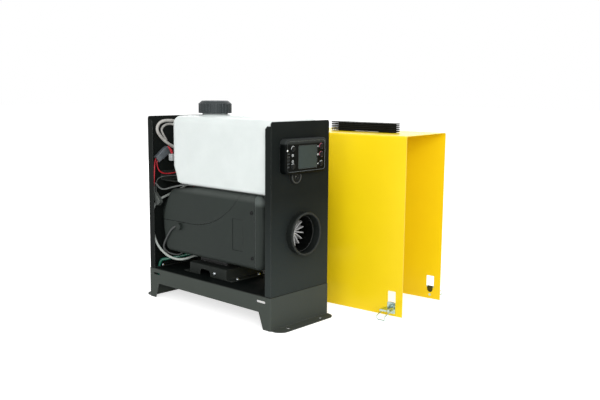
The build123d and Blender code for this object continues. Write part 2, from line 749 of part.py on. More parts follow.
def make_stub(side):
    """Steel stub from the exchanger's foot down through the deck window."""
    x = foot_middle + side * stub_spacing / 2
    top = bracket_top + gasket_height + stub_depth
    bottom = skirt_edge + stub_clear
    tube = rod_z(stub_radius, x, 0, bottom, top) + rod_z(stub_radius + 0.8, x, 0, bottom + 6, bottom + 8)
    return tube - rod_z(stub_radius - stub_wall, x, 0, bottom - 1, top + 1)


# ---- outlet collar --------------------------------------------------------------
def make_outlet_collar():
    """Moulded duct spigot through the front panel: rear flange, tube and rolled lip."""
    lip_rear = panel_face + collar_reach - collar_lip_width
    inner = collar_radius - collar_wall
    collar = turned_x([
        (panel_inside - 4, inner), (panel_inside - 4, collar_flange), (panel_inside, collar_flange),
        (panel_inside, collar_radius), (lip_rear, collar_radius), (lip_rear + 1.2, collar_lip),
        (panel_face + collar_reach - 1, collar_lip), (panel_face + collar_reach, collar_lip - 1),
        (panel_face + collar_reach, inner + 0.8), (panel_face + collar_reach - 0.8, inner)])
    return collar


# ---- tank, cap and shelf ----------------------------------------------------------
def tank_form(inset):
    """The tank's outer form, or its hollow when inset by the wall."""
    rear, front = tank_rear + inset, tank_front - inset
    low, high = tank_bottom + inset, tank_top - inset
    cut_l, cut_h = tank_cut_length, tank_cut_height
    half_w = tank_width / 2 - inset
    form = prism_y([(rear + cut_l, low), (front, low), (front, high), (rear, high), (rear, low + cut_h)],
                   -half_w, half_w)
    corner = tank_corner - inset
    form = fillet(form.edges().filter_by(Axis.Z), corner)
    form = fillet(form.faces().sort_by(Axis.Z)[-1].edges(), corner - 0.5)
    if inset:
        return form
    return fillet(form.faces().sort_by(Axis.Z)[0].edges(), tank_lower_corner)


def make_fuel_tank():
    """Hollow blow-moulded tank with a filler neck and an outlet boss low at the rear."""
    tank = tank_form(0)
    tank += rod_z(neck_radius, neck_x, 0, tank_top - 1, neck_top)
    tank += rod_z(neck_radius + 5, neck_x, 0, tank_top - 1, tank_top + 2)
    tank -= tank_form(tank_wall)
    tank -= rod_z(neck_bore, neck_x, 0, tank_top - 2 * tank_wall, neck_top + 1)
    return tank - rod_x(outlet_radius, tank_rear - 1, tank_rear + tank_wall + 3,
                        tank_outlet_y, tank_outlet_z)


def make_tank_outlet():
    """Barbed outlet fitting with a nut face against the tank's rear wall."""
    y, z = tank_outlet_y, tank_outlet_z
    body = rod_x(outlet_radius, tank_rear, tank_rear + tank_wall + 3, y, z)
    body += Pos(tank_rear, y, z) * Rot(0, -90, 0) * extrude(RegularPolygon(10, 6), amount=5)
    body += rod_x(hose_bore, tank_rear - 13, tank_rear, y, z)
    return body - rod_x(0.9, tank_rear - 23, tank_rear + 10, y, z)


def make_tank_shelf():
    """Shelf under the tank, folded up at both ends against the panels."""
    low = casing_top + shelf_above_casing
    half = shelf_width / 2
    shelf = block(-panel_inside, panel_inside, -half, half, low, shelf_top)
    shelf += block(panel_inside - sheet, panel_inside, -half, half, low, shelf_top + shelf_tab)
    shelf += block(-panel_inside, -panel_inside + sheet, -half, half, low, shelf_top + shelf_tab)
    return shelf - block(-panel_inside + 12, tank_rear - 10, -half + 15, half - 15, low - 1, shelf_top + 1)


def make_tank_cap():
    """Ribbed screw cap with a bevelled top, hollow over the neck."""
    top = cap_top
    bore, seal_top = neck_radius + 1.2, neck_top + seal_height
    rib_top = top - cap_bevel - 1
    cap = turned_z([(0, seal_top), (0, top), (cap_radius - 7, top), (cap_radius - 2, top - cap_bevel),
                    (cap_radius - 1, rib_top), (cap_radius - 1, cap_bottom), (bore, cap_bottom),
                    (bore, seal_top)], neck_x, 0)
    for i in range(cap_rib_count):
        rib = Pos(cap_radius - 1.2, 0, (cap_bottom + rib_top) / 2) * Box(2.4, 3.2, rib_top - cap_bottom)
        cap += Pos(neck_x, 0, 0) * Rot(0, 0, i * 360 / cap_rib_count) * rib
    grip = block(neck_x - 20, neck_x + 20, -2.5, 2.5, top - 3, top)
    dish = rod_z(cap_radius - 11, neck_x, 0, top - 3, top + 1)
    return cap - dish + grip


def make_cap_seal():
    """Flat ring that lies on the neck and is lifted with the cap."""
    return rod_z(neck_radius, neck_x, 0, neck_top, neck_top + seal_height) - rod_z(
        neck_bore, neck_x, 0, neck_top - 1, neck_top + seal_height + 1)


# ---- controller -----------------------------------------------------------------
def controller_block(width, height, x0, x1, corner, dy=0.0, dz=0.0):
    """Rounded block on the front panel, centred on the controller."""
    middle = Pos((x0 + x1) / 2, controller_centre_y + dy, controller_centre_z + dz)
    body = middle * Box(x1 - x0, width, height)
    return fillet(body.edges().filter_by(Axis.X), corner)


def button_places():
    """Name, Y and Z of each round button."""
    left = [("left_upper", "left_lower"), button_left_y, button_left_rises]
    right = [("right_upper", "right_middle", "right_lower"), button_right_y, button_right_rises]
    return [(name, controller_centre_y + y, controller_centre_z + rise)
            for names, y, rises in (left, right) for name, rise in zip(names, rises)]


def make_controller_case():
    """Case with a rim round its face, a screen window, button holes and side slots."""
    case = controller_block(controller_width, controller_height, controller_back, controller_face,
                            controller_corner)
    rim = case.faces().sort_by(Axis.X)[-1].edges()
    case = fillet(rim, 3)
    case -= controller_block(controller_width - 10, controller_height - 9, controller_face - 0.8,
                             controller_face + 1, controller_corner - 3)
    case -= controller_block(screen_width + 0.2, screen_height + 0.2, controller_face - 4,
                             controller_face + 1, 2, screen_offset_y, screen_offset_z)
    for _, y, z in button_places():
        case -= rod_x(button_radius + button_gap, controller_face - button_well, controller_face + 1, y, z)
    for i in range(5):
        z = controller_centre_z - 18 + 6 * i
        case -= block(controller_face - 3, controller_face + 1, controller_centre_y - 51.5,
                      controller_centre_y - 46.5, z - 1.2, z + 1.2)
    return case


def make_controller_screen():
    """Screen pane set into its window."""
    return controller_block(screen_width, screen_height, controller_face - 4, controller_face - 1.6, 1.9,
                            screen_offset_y, screen_offset_z)


def make_button(y, z):
    """Round domed push button, standing clear of its well's floor by its travel."""
    inner = controller_face - button_well + button_travel + 0.1
    button = rod_x(button_radius, inner, controller_face + button_proud, y, z)
    return fillet(button.edges().filter_by(GeomType.CIRCLE).sort_by(Axis.X)[-1], 1.0)


def make_controller_grommet():
    """Rubber grommet in the front panel for the controller's lead."""
    front = panel_face + 5.5
    ring = rod_x(grommet_radius, panel_face, front, grommet_y, grommet_z)
    ring = fillet(ring.edges().filter_by(GeomType.CIRCLE).sort_by(Axis.X)[-1], 2.5)
    ring += rod_x(grommet_hole - 0.1, panel_inside - 3, panel_face, grommet_y, grommet_z)
    above = block(panel_face - 1, front + 5, -panel_width, panel_width, controller_centre_z
                  - controller_height / 2 - sheet_gap, panel_top)
    return ring - rod_x(4, panel_inside - 5, front + 1, grommet_y, grommet_z) - above


# ---- fuel line and wiring ---------------------------------------------------------
def make_fuel_pump():
    """Dosing pump: solenoid body with stepped ends, a plug and two hose nipples."""
    x, y, low = pump_x, pump_y, pump_low
    high = low + pump_length
    pump = turned_z([(0, low), (hose_bore, low), (hose_bore, low + 12), (7, low + 12), (7, low + 18),
                     (pump_radius, low + 18), (pump_radius, high - 14), (7.5, high - 14), (7.5, high - 8),
                     (hose_bore, high - 8), (hose_bore, high + 4), (0, high + 4)], x, y)
    return pump + block(x - 6, x + 6, y - pump_radius - 12, y - pump_radius + 2,
                        pump_plug_z - 5.5, pump_plug_z + 5.5)


def make_pump_clamp():
    """Rubber clamp round the pump with a foot on the rear panel."""
    z0, z1 = pump_low + 19, pump_low + 29
    ring = rod_z(pump_radius + 4, pump_x, pump_y, z0, z1)
    foot = block(-panel_inside, pump_x, pump_y - 8, pump_y + 8, z0, z1)
    return ring + foot - rod_z(pump_radius, pump_x, pump_y, z0 - 1, z1 + 1)


def make_fuel_filter():
    """Inline filter cup between the tank and the pump."""
    low = tank_outlet_z - 12
    high = low + filter_length
    cup = turned_z([(0, low), (8, low), (filter_radius, low + 4), (filter_radius, high - 4), (8, high),
                    (hose_bore, high), (hose_bore, high + 12), (0, high + 12)], filter_x, tank_outlet_y)
    return cup + rod_x(hose_bore, filter_x + 8, tank_rear - 13, tank_outlet_y, tank_outlet_z)


def make_fuel_hoses():
    """White hoses: tank to filter, filter to pump, and pump to the exchanger's foot."""
    tank_hose = rod_x(fuel_hose, filter_x + filter_radius + 0.5, tank_rear - 5,
                      tank_outlet_y, tank_outlet_z)
    tank_hose -= rod_x(hose_bore, filter_x, tank_rear, tank_outlet_y, tank_outlet_z)
    filter_top = tank_outlet_z - 12 + filter_length
    pump_top = pump_low + pump_length
    pump_hose = tube_along([
        (filter_x, tank_outlet_y, filter_top + 1), (filter_x, tank_outlet_y, filter_top + 44),
        (pump_x, pump_y, pump_top + 26), (pump_x, pump_y, pump_top - 7)],
        fuel_hose, "filter to pump", hose_bore)
    long_hose = tube_along([
        (pump_x, pump_y, pump_low + 11), (pump_x, pump_y, 258), (-158, -2, 238), (-170, -34, 226),
        (-175, -62, 213), (-175.3, -74, 190), (-175.6, -73.5, 150), (-174, -72.5, 126), (-160, -68, 103),
        (-133, -63, 89), (-104, -46, 92), (foot_rear - 16, fuel_port_y, fuel_port_z),
        (foot_rear - 1, fuel_port_y, fuel_port_z)],
        fuel_hose, "pump to heater", hose_bore)
    return [tank_hose, pump_hose, long_hose]


def make_drip_hose():
    """Green hose from the exchanger's foot to a hole near the deck's rear corner."""
    return tube_along([
        (foot_rear - 1, drip_port_y, drip_port_z), (foot_rear - 20, drip_port_y, drip_port_z),
        (-122, -30, 91), (-147, -58, 83), (drip_x, drip_y, 79), (drip_x, drip_y, 42)],
        green_hose, "drip hose", green_bore)


def make_harness_sleeves():
    """Two sleeved looms that rise behind the tank and loop into the near rear corner."""
    outer = tube_along([
        (-124, 25, control_top), (-124, 25, 268), (-126, 20, 322), (-146, -12, 372), (-160, -58, 379),
        (-160, -76, 360), (-160, -58, 337), (-157, -36, 322), (pump_x, -20, pump_plug_z),
        (pump_x, pump_y - pump_radius - 12, pump_plug_z)], harness_sleeve, "outer sleeve")
    inner = tube_along([
        (-124, 14, control_top), (-124, 14, 268), (-128, 10, 325), (-152, -14, 362), (-166, -38, 371),
        (-166, -58, 360), (-164.5, -52, 345), (-163.5, -45, 334)], inner_sleeve, "inner sleeve")
    return [outer, inner]


def make_red_leads():
    """Red leads of the fuse holder and the pair that ends in the white connector."""
    gland = tube_along([
        (fuse_x, -66.6, 296.4), (fuse_x, -72.5, 292), (-174.5, -76.5, 272), (-175.5, -76.6, 247),
        (-173.5, -74.5, 239), (-178, gland_y, gland_z)], red_wire, "fuse to gland")
    board = tube_along([(fuse_x, -63.3, 291.2), (fuse_x + 1, -66, 285), (-170, -60, 267), (-166, -42, 262),
                        (-156, -10, 267), (-136, -2, 262), (-122, -6, 246), (-122, -6, control_top)],
                       red_wire, "fuse to control unit")
    pair = [tube_along([
        (-158, -46 + d, 322.6 - 0.7 * d), (-154, -42 + d, 315), (-152, -41 + d, connector_top + 0.5)],
        red_wire, "connector lead") for d in (0, 3)]
    return [gland, board] + pair


def make_fuse_holder():
    """Blade fuse holder lying on the rear panel, both leads at its lower end."""
    body = fillet(Box(11, 36, 15).edges().filter_by(Axis.Y), 2.5)
    body += Pos(0, 6, 0) * fillet(Box(11, 22, 17).edges().filter_by(Axis.Y), 2.5)
    return Pos(fuse_x, -49.6, 304.5) * Rot(35, 0, 0) * body


def make_loom_connector():
    """White nylon connector at the end of the red pair."""
    body = block(-157, -147, -44.5, -34.5, connector_top - 14, connector_top)
    return body + block(-154, -150, -46, -44.5, connector_top - 10, connector_top - 3)


def make_lead_plug():
    """Dark plug that hangs beside the casing's upper rear corner."""
    body = fillet(Box(12, 9, 26).edges().filter_by(Axis.Z), 1.5)
    body += Pos(0, 0, -4) * Box(14, 8, 12)
    return Pos(plug_x, plug_y, plug_z) * Rot(0, -42.6, 0) * body


def make_grey_leads():
    """Controller lead over the casing's shoulder, a thin lead, and the sensor's lead."""
    shoulder_y, lead_z, gap_x = -57.5, 248.7, 173.6
    controller = tube_along([
        (-172.6, plug_y, 222.5), (-173.5, -71.5, 232), (-171, -70, 250), (-148, -69, 231),
        (-112, -64, 243.5),
        (-80, shoulder_y, lead_z), (-30, shoulder_y + 1, lead_z), (20, shoulder_y, lead_z),
        (70, shoulder_y + 1, lead_z), (120, shoulder_y, lead_z), (169, shoulder_y + 1, lead_z - 0.1),
        (gap_x, -56, 259), (gap_x, -46, 278), (gap_x, grommet_y - 1, grommet_z),
        (184, grommet_y, grommet_z)],
        grey_wire, "controller lead")
    thin = tube_along([(-170.2, -69, 223.5), (-173, -68, 240), (-170, -65, 256), (-163, -40, 259.5),
                       (-150, -10, 257), (-133, 7, 252), (-122, 9, 241), (-122, 9, control_top)],
                      thin_wire, "thin lead")
    side = -casing_width / 2 - sensor_wire - 0.2
    sensor = tube_along([(sensor_x - 7.6, side, sensor_z), (sensor_x - 20, side, sensor_z - 4),
                         (sensor_x - 40, side, sensor_z - 28), (sensor_x - 54, side, 108),
                         (sensor_x - 48, -56, 94), (-122, -41, 91), (-120, -40, casing_bottom - 0.6)],
                        sensor_wire, "sensor lead")
    return [controller, thin, sensor]


def cover_place(shape):
    """From the cover's own frame (x back from its front edge) to where it stands."""
    return Location((cover_x, cover_y, 0), (0, 0, cover_yaw)) * shape


# ---- cover ------------------------------------------------------------------------
def make_cover_shell():
    """Folded cover, open below and at both ends, with a window above each latch."""
    outer = block(-cover_length, 0, 0, cover_outer_width, -5, cover_height)
    outer = fillet(outer.edges().filter_by(Axis.X).group_by(Axis.Z)[-1], cover_bend)
    inner = block(-cover_length - 1, 1, cover_sheet, cover_outer_width - cover_sheet,
                  -6, cover_height - cover_sheet)
    inner = fillet(inner.edges().filter_by(Axis.X).group_by(Axis.Z)[-1], cover_bend - cover_sheet)
    shell = outer - inner - block(-cover_length - 2, 2, -2, cover_outer_width + 2, -7, 0)
    for s in (latch_inset, cover_length - latch_inset):
        window = block(-s - window_width / 2, -s + window_width / 2, -5, cover_outer_width + 5,
                       window_bottom, window_bottom + window_height)
        shell -= fillet(window.edges().filter_by(Axis.Y), 1.5)
        for z in rivet_heights():
            shell -= rod_y(rivet_radius, -s, -5, cover_outer_width + 5, z)
    for s in grip_screw_places():
        shell -= rod_z(screw_radius, -s, cover_outer_width / 2, cover_height - 5, cover_height + 5)
    return cover_place(shell)


def grip_screw_places():
    """Distance behind the cover's front edge of the grip's two screws."""
    return [grip_start + 24, grip_start + grip_length - grip_core_short - 24]


def make_cover_grip():
    """Ribbed grip: a core with five thin leaves round it, on two low posts."""
    middle = cover_outer_width / 2
    inset = (grip_width - grip_core_width) / 2
    core_length = grip_length - grip_core_short - inset
    core_start = grip_start + inset
    height = grip_post_height + grip_pitch * (grip_leaf_count - 1) + grip_leaf
    core = Pos(-core_start - core_length / 2, middle, cover_height) * extrude(
        SlotOverall(core_length, grip_core_width), amount=height)
    gap = Pos(-core_start - core_length / 2, middle, cover_height + grip_post_height / 2) * Box(
        core_length - 2 * 36, grip_width, grip_post_height)
    core -= gap
    leaf = extrude(SlotOverall(grip_length, grip_width), amount=grip_leaf)
    for i in range(grip_leaf_count):
        low = cover_height + grip_post_height + i * grip_pitch
        core += Pos(-grip_start - grip_length / 2, middle, low) * leaf
    for s in grip_screw_places():
        core -= rod_z(screw_radius, -s, middle, cover_height - 1, cover_height + 12)
    return cover_place(core)


def make_grip_screws():
    """Two screws up through the cover into the grip."""
    screw = Rot(180, 0, 0) * pan_screw(12)
    under = cover_height - cover_sheet
    return [cover_place(Pos(-s, cover_outer_width / 2, under) * screw) for s in grip_screw_places()]


# ---- toggle latches ------------------------------------------------------------------


def latch_place(name, shape):
    """From a latch's own frame (outwards is -Y) to its corner of the cover."""
    s = latch_inset if name.startswith("front") else cover_length - latch_inset
    if name.endswith("near"):
        return cover_place(Pos(-s, 0, 0) * shape)
    return cover_place(Pos(-s, cover_outer_width, 0) * Rot(0, 0, 180) * shape)


def make_latch_base():
    """Plate with two ears for the lever's pin."""
    half = latch_plate_width / 2
    base = block(-half, half, -latch_plate, 0, latch_plate_low, latch_plate_high)
    base = fillet(base.edges().filter_by(Axis.Y), 2)
    inside = lever_width / 2 - lever_sheet - bail_side_gap
    for side in (1, -1):
        x0, x1 = sorted((side * inside, side * (inside - 1)))
        ear = block(x0, x1, -latch_pivot_out, -latch_plate + 0.2,
                    latch_pivot_z - ear_radius, latch_pivot_z + ear_radius)
        ear += rod_x(ear_radius, x0, x1, -latch_pivot_out, latch_pivot_z)
        base += ear
    base -= rod_x(latch_pin_radius, -half, half, -latch_pivot_out, latch_pivot_z)
    for z in rivet_heights():
        base -= rod_y(rivet_radius, 0, -latch_plate - 1, 1, z)
    return base


def rivet_heights():
    """Heights of a latch base's two rivets."""
    return (latch_plate_low + 3.5, latch_plate_high - 8.5)


def make_latch_pins():
    """Lever pin through both ears, and two domed rivets through plate and cover."""
    pins = [rod_x(latch_pin_radius, -lever_width / 2, lever_width / 2, -latch_pivot_out, latch_pivot_z)]
    for z in rivet_heights():
        rivet = rod_y(rivet_radius, 0, -latch_plate, cover_sheet, z)
        rivet += rod_y(rivet_head, 0, -latch_plate - rivet_head_height, -latch_plate, z)
        pins.append(rivet + rod_y(rivet_head, 0, cover_sheet, cover_sheet + 0.8, z))
    return pins


def make_lever():
    """Pressed channel lever, shown standing out from the cover."""
    out0 = latch_pivot_out
    web_low = latch_pivot_z + ear_radius + lever_web_gap
    half = lever_width / 2
    end = -out0 - lever_length
    web_end = -out0 - ear_radius - lever_web_gap      # so that it swings up past the ears
    web = block(-half, half, end, web_end, web_low, web_low + lever_sheet)
    tip = block(-half, half, end, end + lever_sheet, web_low - 2.5, web_low)
    lever = web + tip
    for side in (1, -1):
        x0, x1 = sorted((side * half, side * (half - lever_sheet)))
        cheek = block(x0, x1, -out0 - lever_length * 0.62, -out0, latch_pivot_z - ear_radius, web_low)
        far_low = cheek.edges().filter_by(Axis.X).sort_by(lambda e: e.center().Y + e.center().Z)[0]
        cheek = chamfer(far_low, 5)
        lever += cheek + rod_x(ear_radius, x0, x1, -out0, latch_pivot_z)
        lever -= rod_x(latch_pin_radius + running_gap, x0 - 1, x1 + 1, -out0, latch_pivot_z)
        lever -= rod_x(bail_wire + running_gap, x0 - 1, x1 + 1, -out0 - lever_arm, latch_pivot_z)
    return lever


def make_bail():
    """Wire bail: stubs in the lever, two legs sloping to the floor, and a hooked end."""
    leg_x = lever_width / 2 + bail_side_gap + bail_wire
    stub_x = lever_width / 2 - lever_sheet
    out = (0, -cos(radians(bail_drop)), -sin(radians(bail_drop)))
    down = (0, sin(radians(bail_drop)), -cos(radians(bail_drop)))
    pivot = (0, -latch_pivot_out - lever_arm, latch_pivot_z)

    def point(x, along, hook):
        return (x, pivot[1] + along * out[1] + hook * down[1], pivot[2] + along * out[2] + hook * down[2])

    corners = [point(-stub_x, 0, 0), point(-leg_x, 0, 0), point(-leg_x, bail_length, 0),
               point(-leg_x, bail_length, bail_hook), point(leg_x, bail_length, bail_hook),
               point(leg_x, bail_length, 0), point(leg_x, 0, 0), point(stub_x, 0, 0)]
    path = FilletPolyline(*corners, radius=[1.25, 2.5, 2.5, 2.5, 2.5, 1.25])
    return sweep(Plane(origin=path @ 0, z_dir=path % 0) * Circle(bail_wire), path=path)


def main():
    """Make every piece and write one file for each."""
    upper, lower, ring = make_casing()
    latch_pins = [latch_place(n, piece) for n in latch_names for piece in make_latch_pins()]
    pieces = {
        "base_tray": make_base_tray(),
        "front_panel": make_front_panel(),
        "rear_panel": make_rear_panel(),
        "pan_screws": Compound(children=make_frame_screws()),
        "panel_grommets": Compound(children=[make_cable_gland(), make_controller_grommet()]),
        "casing_upper": upper,
        "casing_lower": lower,
        "casing_front_ring": ring,
        "outlet_nozzle": make_outlet_nozzle(),
        "inlet_grille": make_inlet_grille(),
        "heat_exchanger": make_heat_exchanger(),
        "burner_tube": make_burner_tube(),
        "glow_plug": make_glow_plug(),
        "blower_housing": make_blower_housing(),
        "blower_shaft": make_shaft(),
        "fan_wheel": make_fan_wheel(),
        "burner_air_wheel": make_burner_wheel(),
        "control_unit": make_control_unit(),
        "heater_bracket": make_heater_bracket(),
        "foot_gasket": make_foot_gasket(),
        "foot_nuts": Compound(children=make_foot_nuts()),
        "exhaust_stub": make_stub(1),
        "intake_stub": make_stub(-1),
        "outlet_collar": make_outlet_collar(),
        "fuel_tank": make_fuel_tank(),
        "tank_outlet": make_tank_outlet(),
        "tank_shelf": make_tank_shelf(),
        "tank_cap": make_tank_cap(),
        "cap_seal": make_cap_seal(),
        "controller_case": make_controller_case(),
        "controller_screen": make_controller_screen(),
        "fuel_pump": make_fuel_pump(),
        "pump_clamp": make_pump_clamp(),
        "fuel_filter": make_fuel_filter(),
        "fuel_hoses": Compound(children=make_fuel_hoses()),
        "drip_hose": make_drip_hose(),
        "harness_sleeves": Compound(children=make_harness_sleeves()),
        "red_leads": Compound(children=make_red_leads()),
        "grey_leads": Compound(children=make_grey_leads()),
        "fuse_holder": make_fuse_holder(),
        "loom_connector": make_loom_connector(),
        "lead_plug": make_lead_plug(),
        "cover_shell": make_cover_shell(),
        "cover_grip": make_cover_grip(),
        "grip_screws": Compound(children=make_grip_screws()),
        "latch_bases": Compound(children=[latch_place(n, make_latch_base()) for n in latch_names]),
        "latch_pins": Compound(children=latch_pins),
    }
    for name, y, z in button_places():
        pieces["button_" + name] = make_button(y, z)
    for name in latch_names:
        pieces["lever_" + name] = latch_place(name, make_lever())
        pieces["bail_" + name] = latch_place(name, make_bail())
    os.makedirs("parts", exist_ok=True)
    for name, shape in pieces.items():
        export_step(shape, "parts/" + name + ".step")
    print(len(pieces), "pieces")


main()
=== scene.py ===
import bmesh
import bpy
import json
import math
import numpy as np
from mathutils import Matrix, Vector


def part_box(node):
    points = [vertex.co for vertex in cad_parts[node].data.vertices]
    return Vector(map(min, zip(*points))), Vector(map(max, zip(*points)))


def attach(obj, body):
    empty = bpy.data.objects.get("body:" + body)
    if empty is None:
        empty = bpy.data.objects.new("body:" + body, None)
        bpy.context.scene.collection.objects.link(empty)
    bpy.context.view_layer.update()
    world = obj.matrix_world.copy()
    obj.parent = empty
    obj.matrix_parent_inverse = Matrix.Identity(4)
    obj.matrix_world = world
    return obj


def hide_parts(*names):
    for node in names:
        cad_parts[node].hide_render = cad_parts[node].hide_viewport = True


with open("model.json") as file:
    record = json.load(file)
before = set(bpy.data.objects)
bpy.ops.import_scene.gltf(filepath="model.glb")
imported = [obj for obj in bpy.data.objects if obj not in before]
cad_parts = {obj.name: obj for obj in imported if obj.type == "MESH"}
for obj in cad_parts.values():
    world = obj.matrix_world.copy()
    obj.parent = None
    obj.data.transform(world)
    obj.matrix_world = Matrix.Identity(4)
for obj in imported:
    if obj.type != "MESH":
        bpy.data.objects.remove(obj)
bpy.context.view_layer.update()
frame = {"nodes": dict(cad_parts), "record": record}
nodes = frame["nodes"]
print("frame in,", len(nodes), "nodes")


# how the procedural patterns of every finish are laid out
patterns = dict(cloudDetail=4, cloudRough=0.6, cloudLow=0.35, cloudHigh=0.65, grainDetail=2, grainRough=0.6,
                speckDetail=2, speckRough=0.5, speckLow=0.66, speckHigh=0.72, swellDetail=2, swellRough=0.5,
                edgeLow=0.99, edgeHigh=0.82, bevelSamples=4)
# what a finish has where its own values say nothing
commonValues = dict(stretch=(1, 1, 1), speck=None, paintedHeightShading=None, paintedEdgeShading=None, edge=0.0, swell=1.0, swellScale=30.0,
                    metal=0.0, shine=0.5, coat=0.0, coatRough=0.15, inner=0.0, innerReach=(0.01, 0.01, 0.01))


def newFinish(name):
    # an empty material with one principled shader on its output
    mat = bpy.data.materials.new(name)
    mat.use_nodes = True
    tree = mat.node_tree
    tree.nodes.clear()
    out = tree.nodes.new("ShaderNodeOutputMaterial")
    bsdf = tree.nodes.new("ShaderNodeBsdfPrincipled")
    tree.links.new(bsdf.outputs[0], out.inputs[0])
    return mat, tree, bsdf


def put(tree, kind, **settings):
    # a new node with the given settings
    made = tree.nodes.new(kind)
    for key, value in settings.items():
        setattr(made, key, value)
    return made


def objectCoords(tree, stretch):
    # the object's own coordinates in metres, each axis times its stretch
    coords = put(tree, "ShaderNodeTexCoord")
    mapping = put(tree, "ShaderNodeMapping")
    mapping.inputs["Scale"].default_value = stretch
    tree.links.new(coords.outputs["Object"], mapping.inputs["Vector"])
    return mapping.outputs[0]


def noise(tree, vector, scale, detail, rough):
    # smooth noise between nought and one, with so many waves per metre
    made = put(tree, "ShaderNodeTexNoise")
    made.inputs["Scale"].default_value = scale
    made.inputs["Detail"].default_value = detail
    made.inputs["Roughness"].default_value = rough
    tree.links.new(vector, made.inputs["Vector"])
    return made.outputs["Fac"]


def spread(tree, value, low, high, newLow=0.0, newHigh=1.0):
    # what lies between low and high is laid out evenly between newLow and newHigh, and held at them beyond
    made = put(tree, "ShaderNodeMapRange")
    for socket, number in (("From Min", low), ("From Max", high), ("To Min", newLow), ("To Max", newHigh)):
        made.inputs[socket].default_value = number
    tree.links.new(value, made.inputs["Value"])
    return made.outputs["Result"]


def blendColour(tree, factor, first, second):
    # the first colour where the factor is nought, the second where it is one
    made = put(tree, "ShaderNodeMix", data_type="RGBA")
    colourSockets = [socket for socket in made.inputs if socket.type == "RGBA"]
    for socket, colour in zip(colourSockets, (first, second)):
        if isinstance(colour, tuple):
            socket.default_value = (*colour, 1)
        else:
            tree.links.new(colour, socket)
    tree.links.new(factor, made.inputs[0])
    return [socket for socket in made.outputs if socket.type == "RGBA"][0]


def roundedNormal(tree, radius):
    # the mean normal within a radius, which softens a sharp sheet edge
    made = put(tree, "ShaderNodeBevel", samples=patterns["bevelSamples"])
    made.inputs["Radius"].default_value = radius
    return made.outputs["Normal"]


def edgeMask(tree, radius, strength):
    # one minus the agreement of the rounded and the flat normal: nought on a face, more on an edge
    flat = put(tree, "ShaderNodeNewGeometry")
    agree = put(tree, "ShaderNodeVectorMath", operation="DOT_PRODUCT")
    tree.links.new(roundedNormal(tree, radius), agree.inputs[0])
    tree.links.new(flat.outputs["Normal"], agree.inputs[1])
    return spread(tree, agree.outputs["Value"], patterns["edgeLow"], patterns["edgeHigh"], 0.0, strength)


def addBump(tree, bsdf, height, strength, distance, edge):
    # tilts the normal by the slope of the height, on top of the rounded edges
    bump = put(tree, "ShaderNodeBump")
    bump.inputs["Strength"].default_value = strength
    bump.inputs["Distance"].default_value = distance
    tree.links.new(height, bump.inputs["Height"])
    if edge:
        tree.links.new(roundedNormal(tree, edge), bump.inputs["Normal"])
    tree.links.new(bump.outputs[0], bsdf.inputs["Normal"])


def sumOf(tree, first, second, weight):
    # first plus weight times second
    made = put(tree, "ShaderNodeMath", operation="MULTIPLY_ADD")
    tree.links.new(second, made.inputs[0])
    made.inputs[1].default_value = weight
    tree.links.new(first, made.inputs[2])
    return made.outputs[0]


def makeFinish(name, ownValues):
    # base and cloud colours drift over each other; the edge colour is painted on edges, as painted highlights
    # on most finishes and as painted shade on the casing; the height shading is a second colour painted
    # between two heights, lighter on some finishes (painted highlights) and darker on others (painted shade);
    # grain is the fine relief and swell the slow one; scales are waves per metre
    mat, tree, bsdf = newFinish(name)
    v, p = {**commonValues, **ownValues}, patterns
    place = objectCoords(tree, v["stretch"])
    clouds = noise(tree, place, v["cloudScale"], p["cloudDetail"], p["cloudRough"])
    clouds = spread(tree, clouds, p["cloudLow"], p["cloudHigh"])
    colour = blendColour(tree, clouds, v["base"], v["cloud"])
    grain = noise(tree, place, v["grainScale"], p["grainDetail"], p["grainRough"])
    if v["speck"]:
        specks = noise(tree, place, v["speckScale"], p["speckDetail"], p["speckRough"])
        colour = blendColour(tree, spread(tree, specks, p["speckLow"], p["speckHigh"]), colour, v["speck"])
    # painted light: between two heights the colour turns into a second one, lighter on some finishes (painted
    # highlights) and darker on others (painted shade)
    if v["paintedHeightShading"]:
        height = put(tree, "ShaderNodeSeparateXYZ")
        tree.links.new(objectCoords(tree, commonValues["stretch"]), height.inputs[0])
        settled = spread(tree, height.outputs["Z"], v["shadingFrom"], v["shadingTo"])
        colour = blendColour(tree, settled, colour, v["paintedHeightShading"])
    # painted light on edges: the edge colour, lighter than the base on most finishes (painted highlights) and
    # darker on the casing (painted shade)
    if v["paintedEdgeShading"]:
        colour = blendColour(tree, edgeMask(tree, v["edge"], v["edgeShadingStrength"]), colour, v["paintedEdgeShading"])
    tree.links.new(colour, bsdf.inputs["Base Color"])
    gloss = spread(tree, clouds, 0.0, 1.0, *v["rough"])
    tree.links.new(gloss, bsdf.inputs["Roughness"])
    swell = noise(tree, place, v["swellScale"], p["swellDetail"], p["swellRough"])
    addBump(tree, bsdf, sumOf(tree, grain, swell, v["swell"]), v["bump"], v["depth"], v["edge"])
    bsdf.inputs["Metallic"].default_value = v["metal"]
    bsdf.inputs["Specular IOR Level"].default_value = v["shine"]
    if v["coat"]:
        bsdf.inputs["Coat Weight"].default_value = v["coat"]
        bsdf.inputs["Coat Roughness"].default_value = v["coatRough"]
    if v["inner"]:
        bsdf.inputs["Subsurface Weight"].default_value = v["inner"]
        bsdf.inputs["Subsurface Radius"].default_value = v["innerReach"]
        bsdf.inputs["Subsurface Scale"].default_value = 1.0
    return mat
